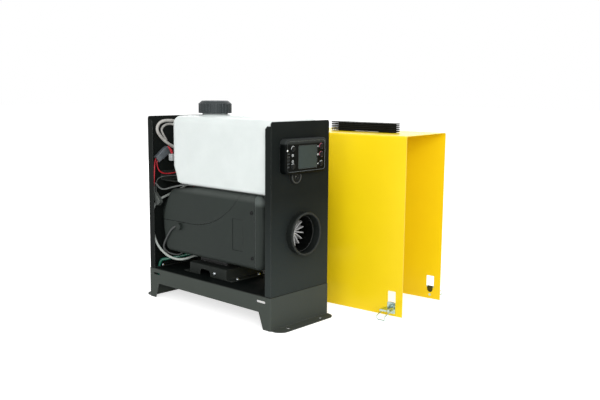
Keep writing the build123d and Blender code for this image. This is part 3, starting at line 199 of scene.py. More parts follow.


# the edge colours below are painted highlights on rounded edges, and on the casing painted shade; the notes
# say where else a finish paints light or shade
finishValues = {
    "frameCoat": dict(base=(0.0190, 0.0222, 0.0200), cloud=(0.0270, 0.0310, 0.0280), cloudScale=9,
                      grainScale=900, rough=(0.5, 0.62), bump=0.25, depth=0.00012, shine=0.08,
                      paintedEdgeShading=(0.10, 0.105, 0.10), edgeShadingStrength=0.7, edge=0.0011, swell=1.2, swellScale=55),
    # front panel: painted shade, a darker copy of the frame coat, growing lighter from 250 mm down to 90 mm
    # as painted light
    "panelCoat": dict(base=(0.0096, 0.0120, 0.0112), cloud=(0.0128, 0.0156, 0.0146), cloudScale=9,
                      grainScale=900, rough=(0.52, 0.64), bump=0.25, depth=0.00012, shine=0.03,
                      paintedEdgeShading=(0.09, 0.095, 0.09), edgeShadingStrength=0.7, edge=0.0011, swell=1.2, swellScale=55,
                      paintedHeightShading=(0.032, 0.039, 0.037), shadingFrom=0.250, shadingTo=0.09),
    # rear panel: painted shade, a darker copy of the frame coat
    "rearCoat": dict(base=(0.0050, 0.0066, 0.0058), cloud=(0.0080, 0.0100, 0.0090), cloudScale=9,
                     grainScale=900, rough=(0.5, 0.62), bump=0.25, depth=0.00012, shine=0.06,
                     paintedEdgeShading=(0.10, 0.105, 0.10), edgeShadingStrength=0.7, edge=0.0011, swell=1.2, swellScale=55),
    # base tray: painted shade, a near black copy of the frame coat for the shaded deck, with painted light
    # making the skirt below 62 mm lighter
    "trayCoat": dict(base=(0.003, 0.0045, 0.004), cloud=(0.006, 0.0075, 0.007), cloudScale=9,
                     grainScale=900, rough=(0.5, 0.62), bump=0.25, depth=0.00012, shine=0.04,
                     paintedEdgeShading=(0.13, 0.135, 0.13), edgeShadingStrength=0.8, edge=0.0011, swell=1.2, swellScale=55,
                     paintedHeightShading=(0.060, 0.069, 0.061), shadingFrom=0.0639, shadingTo=0.0618),
    # heat exchanger: bright cast metal with painted shade on its foot, dark from 108 mm down
    "castMetalShadedFoot": dict(base=(0.76, 0.76, 0.74), cloud=(0.56, 0.56, 0.55), cloudScale=70, grainScale=1500,
                       rough=(0.34, 0.5), bump=0.6, depth=0.0002, metal=0.25, edge=0.0008,
                       paintedEdgeShading=(0.9, 0.9, 0.9), edgeShadingStrength=0.5, paintedHeightShading=(0.006, 0.007, 0.0065), shadingFrom=0.125,
                       shadingTo=0.108),
    # outlet nozzle: near black as painted shade inside, with painted highlights on its rim edges
    "nozzleSkin": dict(base=(0.0012, 0.0016, 0.0014), cloud=(0.0024, 0.0030, 0.0027), cloudScale=45,
                       grainScale=1600, rough=(0.45, 0.6), bump=0.3, depth=0.0001, edge=0.0010, shine=0.04,
                       paintedEdgeShading=(0.16, 0.168, 0.16), edgeShadingStrength=0.9),
    # outlet collar: painted highlights along its wide rim edges
    "collarSkin": dict(base=(0.0085, 0.0105, 0.0096), cloud=(0.0120, 0.0145, 0.0133), cloudScale=45,
                       grainScale=1600, rough=(0.4, 0.55), bump=0.3, depth=0.0001, edge=0.0030, shine=0.1,
                       paintedEdgeShading=(0.085, 0.092, 0.088), edgeShadingStrength=1.0),
    # grommet lip: paler than the grommet's rubber, a painted highlight
    "lipRubber": dict(base=(0.030, 0.033, 0.032), cloud=(0.046, 0.050, 0.048), cloudScale=80, grainScale=1200,
                      rough=(0.35, 0.5), bump=0.3, depth=0.0001, shine=0.3),
    # window pads: dark olive, painted shade in place of the shaded latches
    "shadePadSkin": dict(base=(0.085, 0.078, 0.020), cloud=(0.060, 0.055, 0.016), cloudScale=80,
                       grainScale=1200, rough=(0.6, 0.75), bump=0.4, depth=0.0001, shine=0.1),
    "lampLens": dict(base=(0.92, 0.96, 0.95), cloud=(0.85, 0.90, 0.89), cloudScale=300, grainScale=2000,
                     rough=(0.2, 0.3), bump=0.1, depth=0.00005, shine=0.5),
    "darkWire": dict(base=(0.028, 0.031, 0.030), cloud=(0.045, 0.049, 0.047), cloudScale=120, grainScale=900,
                     rough=(0.35, 0.45), bump=0.15, depth=0.0001, shine=0.5),
    "fuseSkin": dict(base=(0.085, 0.098, 0.108), cloud=(0.130, 0.145, 0.158), cloudScale=70, grainScale=1500,
                     rough=(0.25, 0.4), bump=0.3, depth=0.0001, shine=0.4, paintedEdgeShading=(0.30, 0.33, 0.36), edgeShadingStrength=0.9,
                     edge=0.0012),
    "plugSkin": dict(base=(0.040, 0.046, 0.042), cloud=(0.075, 0.083, 0.077), cloudScale=90, grainScale=1500,
                     rough=(0.35, 0.5), bump=0.3, depth=0.0001, shine=0.2, paintedEdgeShading=(0.22, 0.24, 0.22), edgeShadingStrength=0.9,
                     edge=0.0012),
    # casing front ring: painted highlights on its edges and on its top shoulder from 225 mm up
    "ringSkin": dict(base=(0.0170, 0.0225, 0.0196), cloud=(0.0235, 0.0300, 0.0262), cloudScale=14,
                     grainScale=1700, rough=(0.5, 0.62), bump=0.45, depth=0.00012, shine=0.16,
                     paintedEdgeShading=(0.16, 0.175, 0.17), edgeShadingStrength=0.9, edge=0.0040, swell=0.8, swellScale=40,
                     paintedHeightShading=(0.090, 0.105, 0.098), shadingFrom=0.2250, shadingTo=0.2330),
    # latch zinc: the yellowish specks are painted reflections of the yellow cover
    "latchZinc": dict(base=(0.50, 0.62, 0.63), cloud=(0.42, 0.56, 0.50), cloudScale=160, grainScale=1800,
                      rough=(0.2, 0.34), bump=0.2, depth=0.00008, metal=1.0, edge=0.0003,
                      speck=(0.62, 0.60, 0.40), speckScale=230),
    # casing: painted shade on its edges, darkening its seam and panel outline, and a painted highlight on its
    # upper shoulder from 231 mm up
    "casingSkin": dict(base=(0.0158, 0.0210, 0.0182), cloud=(0.0218, 0.0280, 0.0244), cloudScale=14,
                       grainScale=1700, rough=(0.5, 0.62), bump=0.45, depth=0.00012, shine=0.16,
                       paintedEdgeShading=(0.003, 0.004, 0.0035), edgeShadingStrength=0.9, edge=0.0012, swell=0.8, swellScale=40,
                       paintedHeightShading=(0.054, 0.062, 0.057), shadingFrom=0.2310, shadingTo=0.2385),
    "tankSkin": dict(base=(0.715, 0.775, 0.755), cloud=(0.672, 0.732, 0.712), cloudScale=16, grainScale=500,
                     rough=(0.34, 0.46), bump=0.3, depth=0.0007, shine=0.45, swell=2.6, swellScale=22,
                     inner=0.2, innerReach=(0.010, 0.012, 0.011)),
    # tank cap: painted highlights on its edges and a lighter top from 416.5 mm up, painted light
    "capSkin": dict(base=(0.015, 0.0205, 0.022), cloud=(0.024, 0.031, 0.033), cloudScale=60, grainScale=1500,
                    rough=(0.42, 0.55), bump=0.3, depth=0.0001, shine=0.3, paintedEdgeShading=(0.16, 0.17, 0.18),
                    edgeShadingStrength=0.8, edge=0.0008, paintedHeightShading=(0.075, 0.086, 0.090), shadingFrom=0.4165, shadingTo=0.4186),
    "coverCoat": dict(base=(0.960, 0.700, 0.006), cloud=(0.935, 0.665, 0.005), cloudScale=7, grainScale=1000,
                      rough=(0.40, 0.48), bump=0.18, depth=0.00012, shine=0.2, paintedEdgeShading=(0.98, 0.86, 0.30),
                      edgeShadingStrength=0.6, edge=0.0008, swell=1.5, swellScale=60, coat=0.28, coatRough=0.26),
    "rubber": dict(base=(0.007, 0.008, 0.007), cloud=(0.012, 0.013, 0.012), cloudScale=80, grainScale=1200,
                   rough=(0.7, 0.85), bump=0.4, depth=0.0001, edge=0.0008, shine=0.1,
                   paintedEdgeShading=(0.17, 0.175, 0.17), edgeShadingStrength=0.9),
    "castMetal": dict(base=(0.66, 0.67, 0.68), cloud=(0.50, 0.51, 0.52), cloudScale=70, grainScale=1500,
                      rough=(0.34, 0.5), bump=0.6, depth=0.0002, metal=0.9, edge=0.0008,
                      paintedEdgeShading=(0.9, 0.9, 0.9), edgeShadingStrength=0.8),
    "zinc": dict(base=(0.62, 0.65, 0.67), cloud=(0.50, 0.54, 0.57), cloudScale=180, grainScale=1800,
                 rough=(0.22, 0.36), bump=0.2, depth=0.00008, metal=1.0, edge=0.0003),
    "steel": dict(base=(0.40, 0.39, 0.37), cloud=(0.29, 0.27, 0.25), cloudScale=60, grainScale=900,
                  rough=(0.3, 0.5), bump=0.3, depth=0.0001, metal=1.0, edge=0.0004, stretch=(1, 1, 6)),
    "brass": dict(base=(0.62, 0.44, 0.16), cloud=(0.5, 0.34, 0.12), cloudScale=90, grainScale=900,
                  rough=(0.25, 0.4), bump=0.2, depth=0.0001, metal=1.0, edge=0.0003),
    "darkPlastic": dict(base=(0.0055, 0.0065, 0.006), cloud=(0.009, 0.010, 0.0095), cloudScale=45,
                        grainScale=1600, rough=(0.45, 0.6), bump=0.3, depth=0.0001, edge=0.0008, shine=0.06,
                        paintedEdgeShading=(0.06, 0.062, 0.062), edgeShadingStrength=0.6),
    # controller case: painted highlights on its edges and on its top from 344 mm up
    "controllerSkin": dict(base=(0.0018, 0.0026, 0.0025), cloud=(0.0030, 0.0040, 0.0038), cloudScale=40,
                           grainScale=1500, rough=(0.34, 0.44), bump=0.15, depth=0.0001, edge=0.0012,
                           shine=0.04, paintedEdgeShading=(0.20, 0.22, 0.22), edgeShadingStrength=1.0, paintedHeightShading=(0.030, 0.034, 0.033),
                           shadingFrom=0.3440, shadingTo=0.3475),
    "screenPane": dict(base=(0.034, 0.047, 0.043), cloud=(0.042, 0.057, 0.052), cloudScale=25,
                       grainScale=500, rough=(0.2, 0.28), bump=0.03, depth=0.00005, shine=0.1),
    "buttonSkin": dict(base=(0.006, 0.007, 0.007), cloud=(0.009, 0.010, 0.010), cloudScale=150,
                       grainScale=1500, rough=(0.4, 0.5), bump=0.2, depth=0.0001, edge=0.0006, shine=0.12,
                       paintedEdgeShading=(0.36, 0.38, 0.38), edgeShadingStrength=1.0),
    "whitePlastic": dict(base=(0.50, 0.52, 0.52), cloud=(0.42, 0.44, 0.44), cloudScale=60, grainScale=900,
                         rough=(0.35, 0.5), bump=0.2, depth=0.0001, inner=0.2),
    "whiteHose": dict(base=(0.40, 0.43, 0.40), cloud=(0.31, 0.34, 0.32), cloudScale=90, grainScale=900,
                      rough=(0.25, 0.4), bump=0.15, depth=0.0001, inner=0.2,
                      innerReach=(0.003, 0.003, 0.003)),
    "greenHose": dict(base=(0.005, 0.105, 0.064), cloud=(0.004, 0.070, 0.044), cloudScale=60, grainScale=700,
                      rough=(0.18, 0.3), bump=0.1, depth=0.0001, coat=0.4),
    "greySleeve": dict(base=(0.45, 0.44, 0.41), cloud=(0.33, 0.32, 0.30), cloudScale=110, grainScale=1300,
                       rough=(0.4, 0.6), bump=0.5, depth=0.0003, speck=(0.22, 0.21, 0.20), speckScale=500),
    "redWire": dict(base=(0.50, 0.010, 0.022), cloud=(0.36, 0.006, 0.014), cloudScale=120, grainScale=900,
                    rough=(0.3, 0.4), bump=0.1, depth=0.0001),
    "greyWire": dict(base=(0.105, 0.113, 0.110), cloud=(0.070, 0.076, 0.073), cloudScale=120, grainScale=900,
                     rough=(0.4, 0.5), bump=0.15, depth=0.0001, shine=0.4),
    "gripSkin": dict(base=(0.006, 0.0065, 0.006), cloud=(0.011, 0.0115, 0.011), cloudScale=50,
                     grainScale=1300, rough=(0.5, 0.65), bump=0.3, depth=0.0001, edge=0.0006, shine=0.08,
                     paintedEdgeShading=(0.05, 0.05, 0.05), edgeShadingStrength=0.7),
    "blackScrew": dict(base=(0.008, 0.009, 0.009), cloud=(0.014, 0.015, 0.015), cloudScale=300,
                       grainScale=2500, rough=(0.45, 0.6), bump=0.3, depth=0.00005, shine=0.15),
    "iconPaint": dict(base=(0.86, 0.90, 0.89), cloud=(0.74, 0.78, 0.77), cloudScale=400, grainScale=3000,
                      rough=(0.45, 0.6), bump=0.1, depth=0.00003, shine=0.3),
    "redPaint": dict(base=(0.66, 0.17, 0.22), cloud=(0.55, 0.14, 0.18), cloudScale=400, grainScale=3000,
                     rough=(0.45, 0.6), bump=0.1, depth=0.00003, shine=0.3),
    "violetPaint": dict(base=(0.40, 0.24, 0.48), cloud=(0.33, 0.20, 0.40), cloudScale=400, grainScale=3000,
                        rough=(0.45, 0.6), bump=0.1, depth=0.00003, shine=0.3),
}
finishes = {name: makeFinish(name, values) for name, values in finishValues.items()}
finishOfSlot = {
    "frame_black": "frameCoat", "bracket_black": "frameCoat", "screw_steel": "zinc",
    "black_rubber": "rubber", "casing_plastic": "casingSkin", "cast_aluminium": "castMetal",
    "burner_steel": "steel", "motor_housing": "castMetal", "wheel_plastic": "darkPlastic",
    "board_box": "darkPlastic", "collar_plastic": "darkPlastic", "tank_white": "tankSkin",
    "outlet_brass": "brass", "cap_black": "capSkin", "controller_plastic": "controllerSkin",
    "screen_glass": "screenPane", "button_plastic": "buttonSkin", "pump_steel": "steel",
    "filter_plastic": "whitePlastic", "hose_white": "whiteHose", "hose_green": "greenHose",
    "sleeve_grey": "greySleeve", "wire_red": "redWire", "wire_grey": "greyWire",
    "plug_dark": "darkPlastic", "connector_white": "whitePlastic", "cover_yellow": "coverCoat",
    "grip_black": "gripSkin", "latch_zinc": "latchZinc",
}
finishOfNode = {"front_panel": "panelCoat", "base_tray": "trayCoat", "heat_exchanger": "castMetalShadedFoot",
                "fuse_holder": "fuseSkin", "lead_plug": "plugSkin", "outlet_nozzle": "nozzleSkin",
                "outlet_collar": "collarSkin", "casing_front_ring": "ringSkin", "rear_panel": "rearCoat"}
for part in frame["record"]["subparts"]:
    for place in nodes[part["node"]].material_slots:
        place.material = finishes[finishOfNode.get(part["node"], finishOfSlot[part["material_slot"]])]
print("finishes on,", len(finishes))


# how meshes are merged and shaded; lengths in metres
meshValues = dict(mergeWithin=2e-7, mergeCadWithin=1e-6, stepsPerMetre=1e5, sharpAngle=38)


def makePiece(name, points, quads, finishNames, body, faceFinish=None):
    # quads on an array of points, doubles merged so that seams and poles are closed,
    # turned the other way where the enclosed volume comes out negative
    corners = points[quads]
    volume = np.einsum("ij,ij->i", corners[:, 0], np.cross(corners[:, 1], corners[:, 2])).sum()
    volume += np.einsum("ij,ij->i", corners[:, 0], np.cross(corners[:, 2], corners[:, 3])).sum()
    if volume < 0:
        quads = quads[:, ::-1]
    mesh = bpy.data.meshes.new(name)
    mesh.from_pydata(points.tolist(), [], quads.tolist())
    for finishName in finishNames:
        mesh.materials.append(finishes[finishName])
    if faceFinish is not None:
        mesh.polygons.foreach_set("material_index", faceFinish.astype(np.int32))
    shape = bmesh.new()
    shape.from_mesh(mesh)
    bmesh.ops.remove_doubles(shape, verts=shape.verts, dist=meshValues["mergeWithin"])
    shape.to_mesh(mesh)
    shape.free()
    return showPiece(name, mesh, body)


def showPiece(name, mesh, body):
    # shades the mesh smooth with sharp edges where it folds, and gives it its body
    mesh.polygons.foreach_set("use_smooth", np.ones(len(mesh.polygons), dtype=bool))
    mesh.set_sharp_from_angle(angle=math.radians(meshValues["sharpAngle"]))
    piece = bpy.data.objects.new(name, mesh)
    bpy.context.scene.collection.objects.link(piece)
    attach(piece, body)
    return piece


def gridQuads(rows, cols):
    # quads between neighbouring rows and columns of a grid, whose last column meets its first
    index = np.arange(rows * cols).reshape(rows, cols)
    index = np.concatenate([index, index[:, :1]], axis=1)
    return np.stack([index[:-1, :-1], index[1:, :-1], index[1:, 1:], index[:-1, 1:]], -1).reshape(-1, 4)


def islandsOf(node):
    # joins the loose triangles by place, then lets the lowest label run along them until nothing changes
    mesh = nodes[node].data
    steps = meshValues["stepsPerMetre"]
    places = np.empty(len(mesh.vertices) * 3)
    mesh.vertices.foreach_get("co", places)
    rounded = np.round(places.reshape(-1, 3) * steps).astype(np.int64)
    keys, merged = np.unique(rounded, axis=0, return_inverse=True)
    corners = np.empty(len(mesh.loops), dtype=np.int64)
    mesh.loops.foreach_get("vertex_index", corners)
    triangles = merged.ravel()[corners].reshape(-1, 3)
    labels, settled = np.arange(len(keys)), False
    while not settled:
        lower = labels.copy()
        for k in range(3):
            np.minimum.at(lower, triangles[:, k], labels[triangles].min(axis=1))
        settled = bool((lower == labels).all())
        labels = lower
    return [keys[labels == one] / steps for one in np.unique(labels)]


# screws with a domed head, a pressed cross and a threaded shank
screwValues = dict(headRadius=0.0036, headHeight=0.0022, domePower=4, domeSteps=30, barHalf=0.00048,
                   barReach=0.0019, recessDepth=0.0011, recessSlope=0.00014, shankRadius=0.0019,
                   threadPitch=0.0008, threadDepth=0.00022, stepsPerPitch=6, around=56, rimShare=0.97,
                   casingNear=0.060)


def panScrew(length):
    # a profile turned about Z: dome height falls with the fourth power of the radius, then the flat
    # underside, then a shank whose radius ripples with the thread; a cross is pressed into the dome
    v = screwValues
    domeR = v["headRadius"] * np.linspace(0, 1, v["domeSteps"])
    domeZ = v["headHeight"] * np.sqrt(np.clip(1 - (domeR / v["headRadius"]) ** v["domePower"], 0, 1))
    shankZ = np.linspace(0, -length, int(length / v["threadPitch"] * v["stepsPerPitch"]))
    ripple = 0.5 + 0.5 * np.cos(2 * np.pi * shankZ / v["threadPitch"])
    shankR = v["shankRadius"] - v["threadDepth"] * ripple
    radius = np.concatenate([domeR, [shankR[0]], shankR[1:], [0.0]])
    height = np.concatenate([domeZ, [0.0], shankZ[1:], [-length]])
    turn = np.linspace(0, 2 * np.pi, v["around"], endpoint=False)
    x = radius[:, None] * np.cos(turn)
    y = radius[:, None] * np.sin(turn)
    z = np.repeat(height[:, None], v["around"], axis=1)

    def inside(value, edge):
        return np.clip((edge - np.abs(value)) / v["recessSlope"] + 0.5, 0, 1)

    cross = np.maximum(inside(x, v["barHalf"]) * inside(y, v["barReach"]),
                       inside(y, v["barHalf"]) * inside(x, v["barReach"]))
    onDome = np.arange(len(radius))[:, None] < len(domeR)
    z = np.where(onDome, z - v["recessDepth"] * cross, z)
    return np.stack([x, y, z], -1)


def makeScrews(name, node, body, plainFinish, casingFinish):
    # finds each screw of the CAD node, its axis and its head end, and puts a turned screw in its place
    v = screwValues
    allPoints, allQuads, allFinish, count = [], [], [], 0
    for island in islandsOf(node):
        low, high = island.min(axis=0), island.max(axis=0)
        middle, size = (low + high) / 2, high - low
        along = int(np.argmax(np.abs(size - np.median(size))))
        away = np.delete(island - middle, along, axis=1)
        onRim = np.hypot(away[:, 0], away[:, 1]) > v["headRadius"] * v["rimShare"]
        headEnd = island[onRim][:, along].mean()
        outward = np.zeros(3)
        outward[along] = np.sign(headEnd - middle[along])
        aside = np.roll(np.abs(outward), 1)
        basis = np.stack([aside, np.cross(outward, aside), outward])
        seat = middle + outward * (size[along] / 2 - v["headHeight"])
        local = panScrew(size[along] - v["headHeight"])
        rows, cols = local.shape[:2]
        allPoints.append((local.reshape(-1, 3) @ basis) + seat)
        allQuads.append(gridQuads(rows, cols) + count)
        onCasing = along == 1 and abs(middle[1]) > v["casingNear"]
        allFinish.append(np.full((rows - 1) * cols, int(onCasing)))
        count += rows * cols
    screws = makePiece(name, np.concatenate(allPoints), np.concatenate(allQuads), (plainFinish, casingFinish),
                       body, np.concatenate(allFinish))
    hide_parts(node)


makeScrews("panScrews", "pan_screws", "heater", "zinc", "blackScrew")
makeScrews("gripScrews", "grip_screws", "cover", "zinc", "zinc")
print("screws turned")


# controller: painted signs and the arcs around its buttons, of which the pale ones are painted highlights on
# the buttons' rims; places are (y, z) on its face
marks = dict(face=0.1940, lift=0.00012, stroke=0.00075, slope=0.1, arcSteps=40, lineSteps=9, iconSize=0.0020,
             ringRadius=0.0053, rings=((0.0415, 0.3383), (0.0415, 0.3232)),
             redArcs=((80, 200), (90, 200)), violetArcs=((-60, 50), (-80, 50)), glintRadius=0.00477,
             glintArcs=dict(button_left_upper=(50, 190), button_left_lower=(60, 140),
                           button_right_lower=(60, 140)))
# strokes in shares of the sign's size: arcs by radius, start and end, lines by their corners
signs = {
    "clock": dict(place=(-0.0382, 0.3250), arcs=[(1, 0, 360)], lines=[[(0, 0.6), (0, 0), (0.5, 0)]]),
    "power": dict(place=(-0.0382, 0.3140), arcs=[(1, 120, 420)], lines=[[(0, 1.3), (0, 0.1)]]),
    "upArrow": dict(place=(0.0318, 0.3383), arcs=[], lines=[[(-0.8, -0.4), (0, 0.6), (0.8, -0.4)]]),
    "ringedBar": dict(place=(0.0318, 0.3232), arcs=[(0.8, 0, 360)], lines=[[(-0.3, 0), (0.3, 0)]]),
    "downArrow": dict(place=(0.0318, 0.3061), arcs=[], lines=[[(-0.8, 0.4), (0, -0.6), (0.8, 0.4)]]),
}


def strokeAlong(path):
    # a low ribbon carried along a path on the controller's face: four corners at each point, and at
    # both ends the four draw together to a point, which closes it
    v = marks
    ahead = np.gradient(path, axis=0)
    ahead /= np.linalg.norm(ahead, axis=1)[:, None]
    side = np.stack([-ahead[:, 1], ahead[:, 0]], -1) * v["stroke"] / 2
    left, right = path + side, path - side
    upperLeft, upperRight = left + (right - left) * v["slope"], right + (left - right) * v["slope"]
    low, high = np.full(len(path), v["face"]), np.full(len(path), v["face"] + v["lift"])
    rings = np.stack([np.column_stack([low, left]), np.column_stack([high, upperLeft]),
                      np.column_stack([high, upperRight]), np.column_stack([low, right])], axis=1)
    return closeEnds(rings)


def closeEnds(rings):
    # one more ring at each end, all of whose points lie in the middle of the ring beside it
    ends = [np.repeat(rings[k:k + 1].mean(axis=1, keepdims=True), rings.shape[1], axis=1)
            for k in (0, len(rings) - 1)]
    return np.concatenate([ends[0], rings, ends[1]])


def arcPath(centre, radius, start, end):
    # points on a circle between two angles in degrees
    turn = np.radians(np.linspace(start, end, marks["arcSteps"]))
    return np.stack([centre[0] + radius * np.cos(turn), centre[1] + radius * np.sin(turn)], -1)


def linePath(centre, corners, size):
    # straight runs between corners given as shares of the sign's size
    corners = np.array(corners, dtype=float)
    steps = np.linspace(0, len(corners) - 1, marks["lineSteps"] * (len(corners) - 1))
    line = np.stack([np.interp(steps, np.arange(len(corners)), corners[:, k]) for k in (0, 1)], -1)
    return np.array(centre) + line * size


def makeMarks(name, paths, finish):
    # one piece from the ribbons along several paths
    allPoints, allQuads, count = [], [], 0
    for path in paths:
        rings = strokeAlong(path)
        allPoints.append(rings.reshape(-1, 3))
        allQuads.append(gridQuads(len(rings), 4) + count)
        count += len(rings) * 4
    makePiece(name, np.concatenate(allPoints), np.concatenate(allQuads), (finish,), "heater")


signPaths = []
for sign in signs.values():
    signPaths += [arcPath(sign["place"], share * marks["iconSize"], start, end)
                  for share, start, end in sign["arcs"]]
    signPaths += [linePath(sign["place"], corners, marks["iconSize"]) for corners in sign["lines"]]
makeMarks("controllerIcons", signPaths, "iconPaint")
for name, finish in (("redArcs", "redPaint"), ("violetArcs", "violetPaint")):
    makeMarks(name, [arcPath(place, marks["ringRadius"], *reach)
                     for place, reach in zip(marks["rings"], marks[name])], finish)
# pale arcs on the rims of three buttons: painted highlights
glintPaths = []
for node, reach in marks["glintArcs"].items():
    middle = np.mean(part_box(node), axis=0)
    glintPaths.append(arcPath(middle[1:], marks["glintRadius"], *reach))
makeMarks("glintArcs", glintPaths, "iconPaint")
signalLamp = dict(place=(-0.0530, 0.3340), radius=0.0022, height=0.0009, sink=0.0004, rings=14, around=40)


def makeSignalLamp():
    # a low dome: height falls with the square of the radius, closed by its flat underside
    v = signalLamp
    share = np.linspace(0, 1, v["rings"])
    radius = v["radius"] * np.append(share, 0.0)
    height = np.append(v["height"] * (1 - share ** 2), 0.0)
    turn = np.linspace(0, 2 * np.pi, v["around"], endpoint=False)
    y = v["place"][0] + radius[:, None] * np.cos(turn)
    z = v["place"][1] + radius[:, None] * np.sin(turn)
    x = np.repeat((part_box("controller_case")[1][0] - v["sink"] + height)[:, None], v["around"], axis=1)
    makePiece("signalLamp", np.stack([x, y, z], -1).reshape(-1, 3), gridQuads(v["rings"] + 1, v["around"]),
              ("lampLens",), "heater")


makeSignalLamp()
print("controller marked")

# raised lip of the grommet below the controller, in a paler rubber whose colour is a painted highlight on the
# rim
lip = dict(middle=(-0.0180, 0.2840), radius=0.0116, bead=0.0013, taper=8, around=96, across=20, probe=0.3,
           spare=0.0018)


def makeGrommetLip():
    # a bead of round section carried along the arc that the controller leaves free on the grommet's
    # face; its thickness falls to nothing at both ends, as the root of the distance to them
    v = lip
    y, z = v["middle"][0], v["middle"][1] - v["radius"]
    face = nodes["panel_grommets"].ray_cast(Vector((v["probe"], y, z)), Vector((-1, 0, 0)))[1][0]
    rise = math.asin((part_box("controller_case")[0][2] - v["spare"] - v["middle"][1]) / v["radius"])
    turn = np.linspace(np.pi - rise, 2 * np.pi + rise, v["around"])[:, None]
    share = np.linspace(-1, 1, v["around"])[:, None]
    thick = v["bead"] * np.sqrt(np.clip((1 - np.abs(share)) * v["taper"], 0, 1))
    across = np.linspace(0, 2 * np.pi, v["across"], endpoint=False)[None, :]
    reach = v["radius"] + thick * np.cos(across)
    points = np.stack([face + thick * np.sin(across), v["middle"][0] + reach * np.cos(turn),
                       v["middle"][1] + reach * np.sin(turn)], -1)
    makePiece("grommetLip", points.reshape(-1, 3), gridQuads(v["around"], v["across"]), ("lipRubber",),
              "heater")


makeGrommetLip()
print("grommet lip on")


# dark pads below the cover's windows, painted shade that stands in for the shaded latches seen through them;
# the cover stands turned by a few degrees, and its corner is the one at the front end of its near wall
coverPlace = dict(yaw=5.1, corner=(0.3071, 0.1591), length=0.359, width=0.164, inset=0.024)
shadePad = dict(halfWidth=0.0066, low=0.0140, high=0.0282, thick=0.0016, edgeFall=0.75, fallPower=6, rings=16,
              around=64, boxPower=4.0, sheet=0.0012)


def windowPlaces():
    # the point of each window on the outer side of its wall, and the direction from there into the cover
    v = coverPlace
    yaw = math.radians(v["yaw"])
    toRear = np.array([-math.cos(yaw), -math.sin(yaw), 0.0])
    toFarWall = np.array([-math.sin(yaw), math.cos(yaw), 0.0])
    nearFront = np.array([*v["corner"], 0.0])
    places = []
    for across, inward in ((0.0, toFarWall), (v["width"], -toFarWall)):
        for back in (v["inset"], v["length"] - v["inset"]):
            places.append((nearFront + back * toRear + across * toFarWall, inward))
    return places, -toRear


def makeShadePads():
    # each is a pad whose outline is a rounded box above and a half circle below, and whose thickness
    # falls off towards that outline with the sixth power of the distance from the middle
    v = shadePad
    allPoints, allQuads, count = [], [], 0
    turn = np.linspace(0, 2 * np.pi, v["around"], endpoint=False)
    exponent = np.where(np.sin(turn) > 0, 2 / v["boxPower"], 1.0)
    outX = np.sign(np.cos(turn)) * np.abs(np.cos(turn)) ** exponent * v["halfWidth"]
    outZ = np.sign(np.sin(turn)) * np.abs(np.sin(turn)) ** exponent * (v["high"] - v["low"]) / 2
    share = np.linspace(0, 1, v["rings"])
    crown = v["thick"] * (1 - v["edgeFall"] * share ** v["fallPower"])
    crown[-1] = 0.0
    share, crown = np.append(share, 0.0), np.append(crown, 0.0)
    rise = (v["low"] + v["high"]) / 2 + share[:, None] * outZ
    places, along = windowPlaces()
    for centre, inward in places:
        points = (centre + inward * v["sheet"] + (share[:, None] * outX)[:, :, None] * along
                  + crown[:, None, None] * inward)
        points[:, :, 2] += rise
        allPoints.append(points.reshape(-1, 3))
        allQuads.append(gridQuads(len(share), v["around"]) + count)
        count += len(share) * v["around"]
    makePiece("windowShadePads", np.concatenate(allPoints), np.concatenate(allQuads), ("shadePadSkin",), "cover")


makeShadePads()
print("shadePads on")


# tank: its rear wall, the length of the rounding before it, how far the rear moves back, and the heights
# between which the slant below takes that step up
tankEnd = dict(rear=-0.107, flatFrom=0.0185, back=0.009, slantTop=0.2860, slantFoot=0.2640, spare=1e-5)


def makeTank():
    # a merged copy of the CAD tank, split where its sides are flat; what lies behind the split moves back,
    # by the full step above the slant and by a share that falls evenly to nought at its foot
    v = tankEnd
    mesh = nodes["fuel_tank"].data.copy()
    shape = bmesh.new()
    shape.from_mesh(mesh)
    bmesh.ops.remove_doubles(shape, verts=shape.verts, dist=meshValues["mergeCadWithin"])
    split = v["rear"] + v["flatFrom"]
    for place, normal in (((split, 0, 0), (1, 0, 0)), ((0, 0, v["slantTop"]), (0, 0, 1)),
                          ((0, 0, v["slantFoot"]), (0, 0, 1))):
        everything = shape.verts[:] + shape.edges[:] + shape.faces[:]
        bmesh.ops.bisect_plane(shape, geom=everything, plane_co=place, plane_no=normal)
    shape.to_mesh(mesh)
    shape.free()
    places = np.empty(len(mesh.vertices) * 3)
    mesh.vertices.foreach_get("co", places)
    places = places.reshape(-1, 3)
    share = np.clip((places[:, 2] - v["slantFoot"]) / (v["slantTop"] - v["slantFoot"]), 0, 1)
    places[:, 0] -= np.where(places[:, 0] < split - v["spare"], v["back"] * share, 0)
    mesh.vertices.foreach_set("co", places.ravel())
    piece = showPiece("tankShell", mesh, "heater")
    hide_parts("fuel_tank")
    bpy.context.view_layer.update()
    return piece


tankShell = makeTank()
print("tank shaped,", len(tankShell.data.polygons), "faces")

# parting line of the tank, a bead from one side of the neck round to the other
seam = dict(width=0.0026, height=0.0006, sink=0.0003, across=9, rays=420, middle=(0.0315, 0.0, 0.3195),
            reach=0.4, topLimit=0.3888)


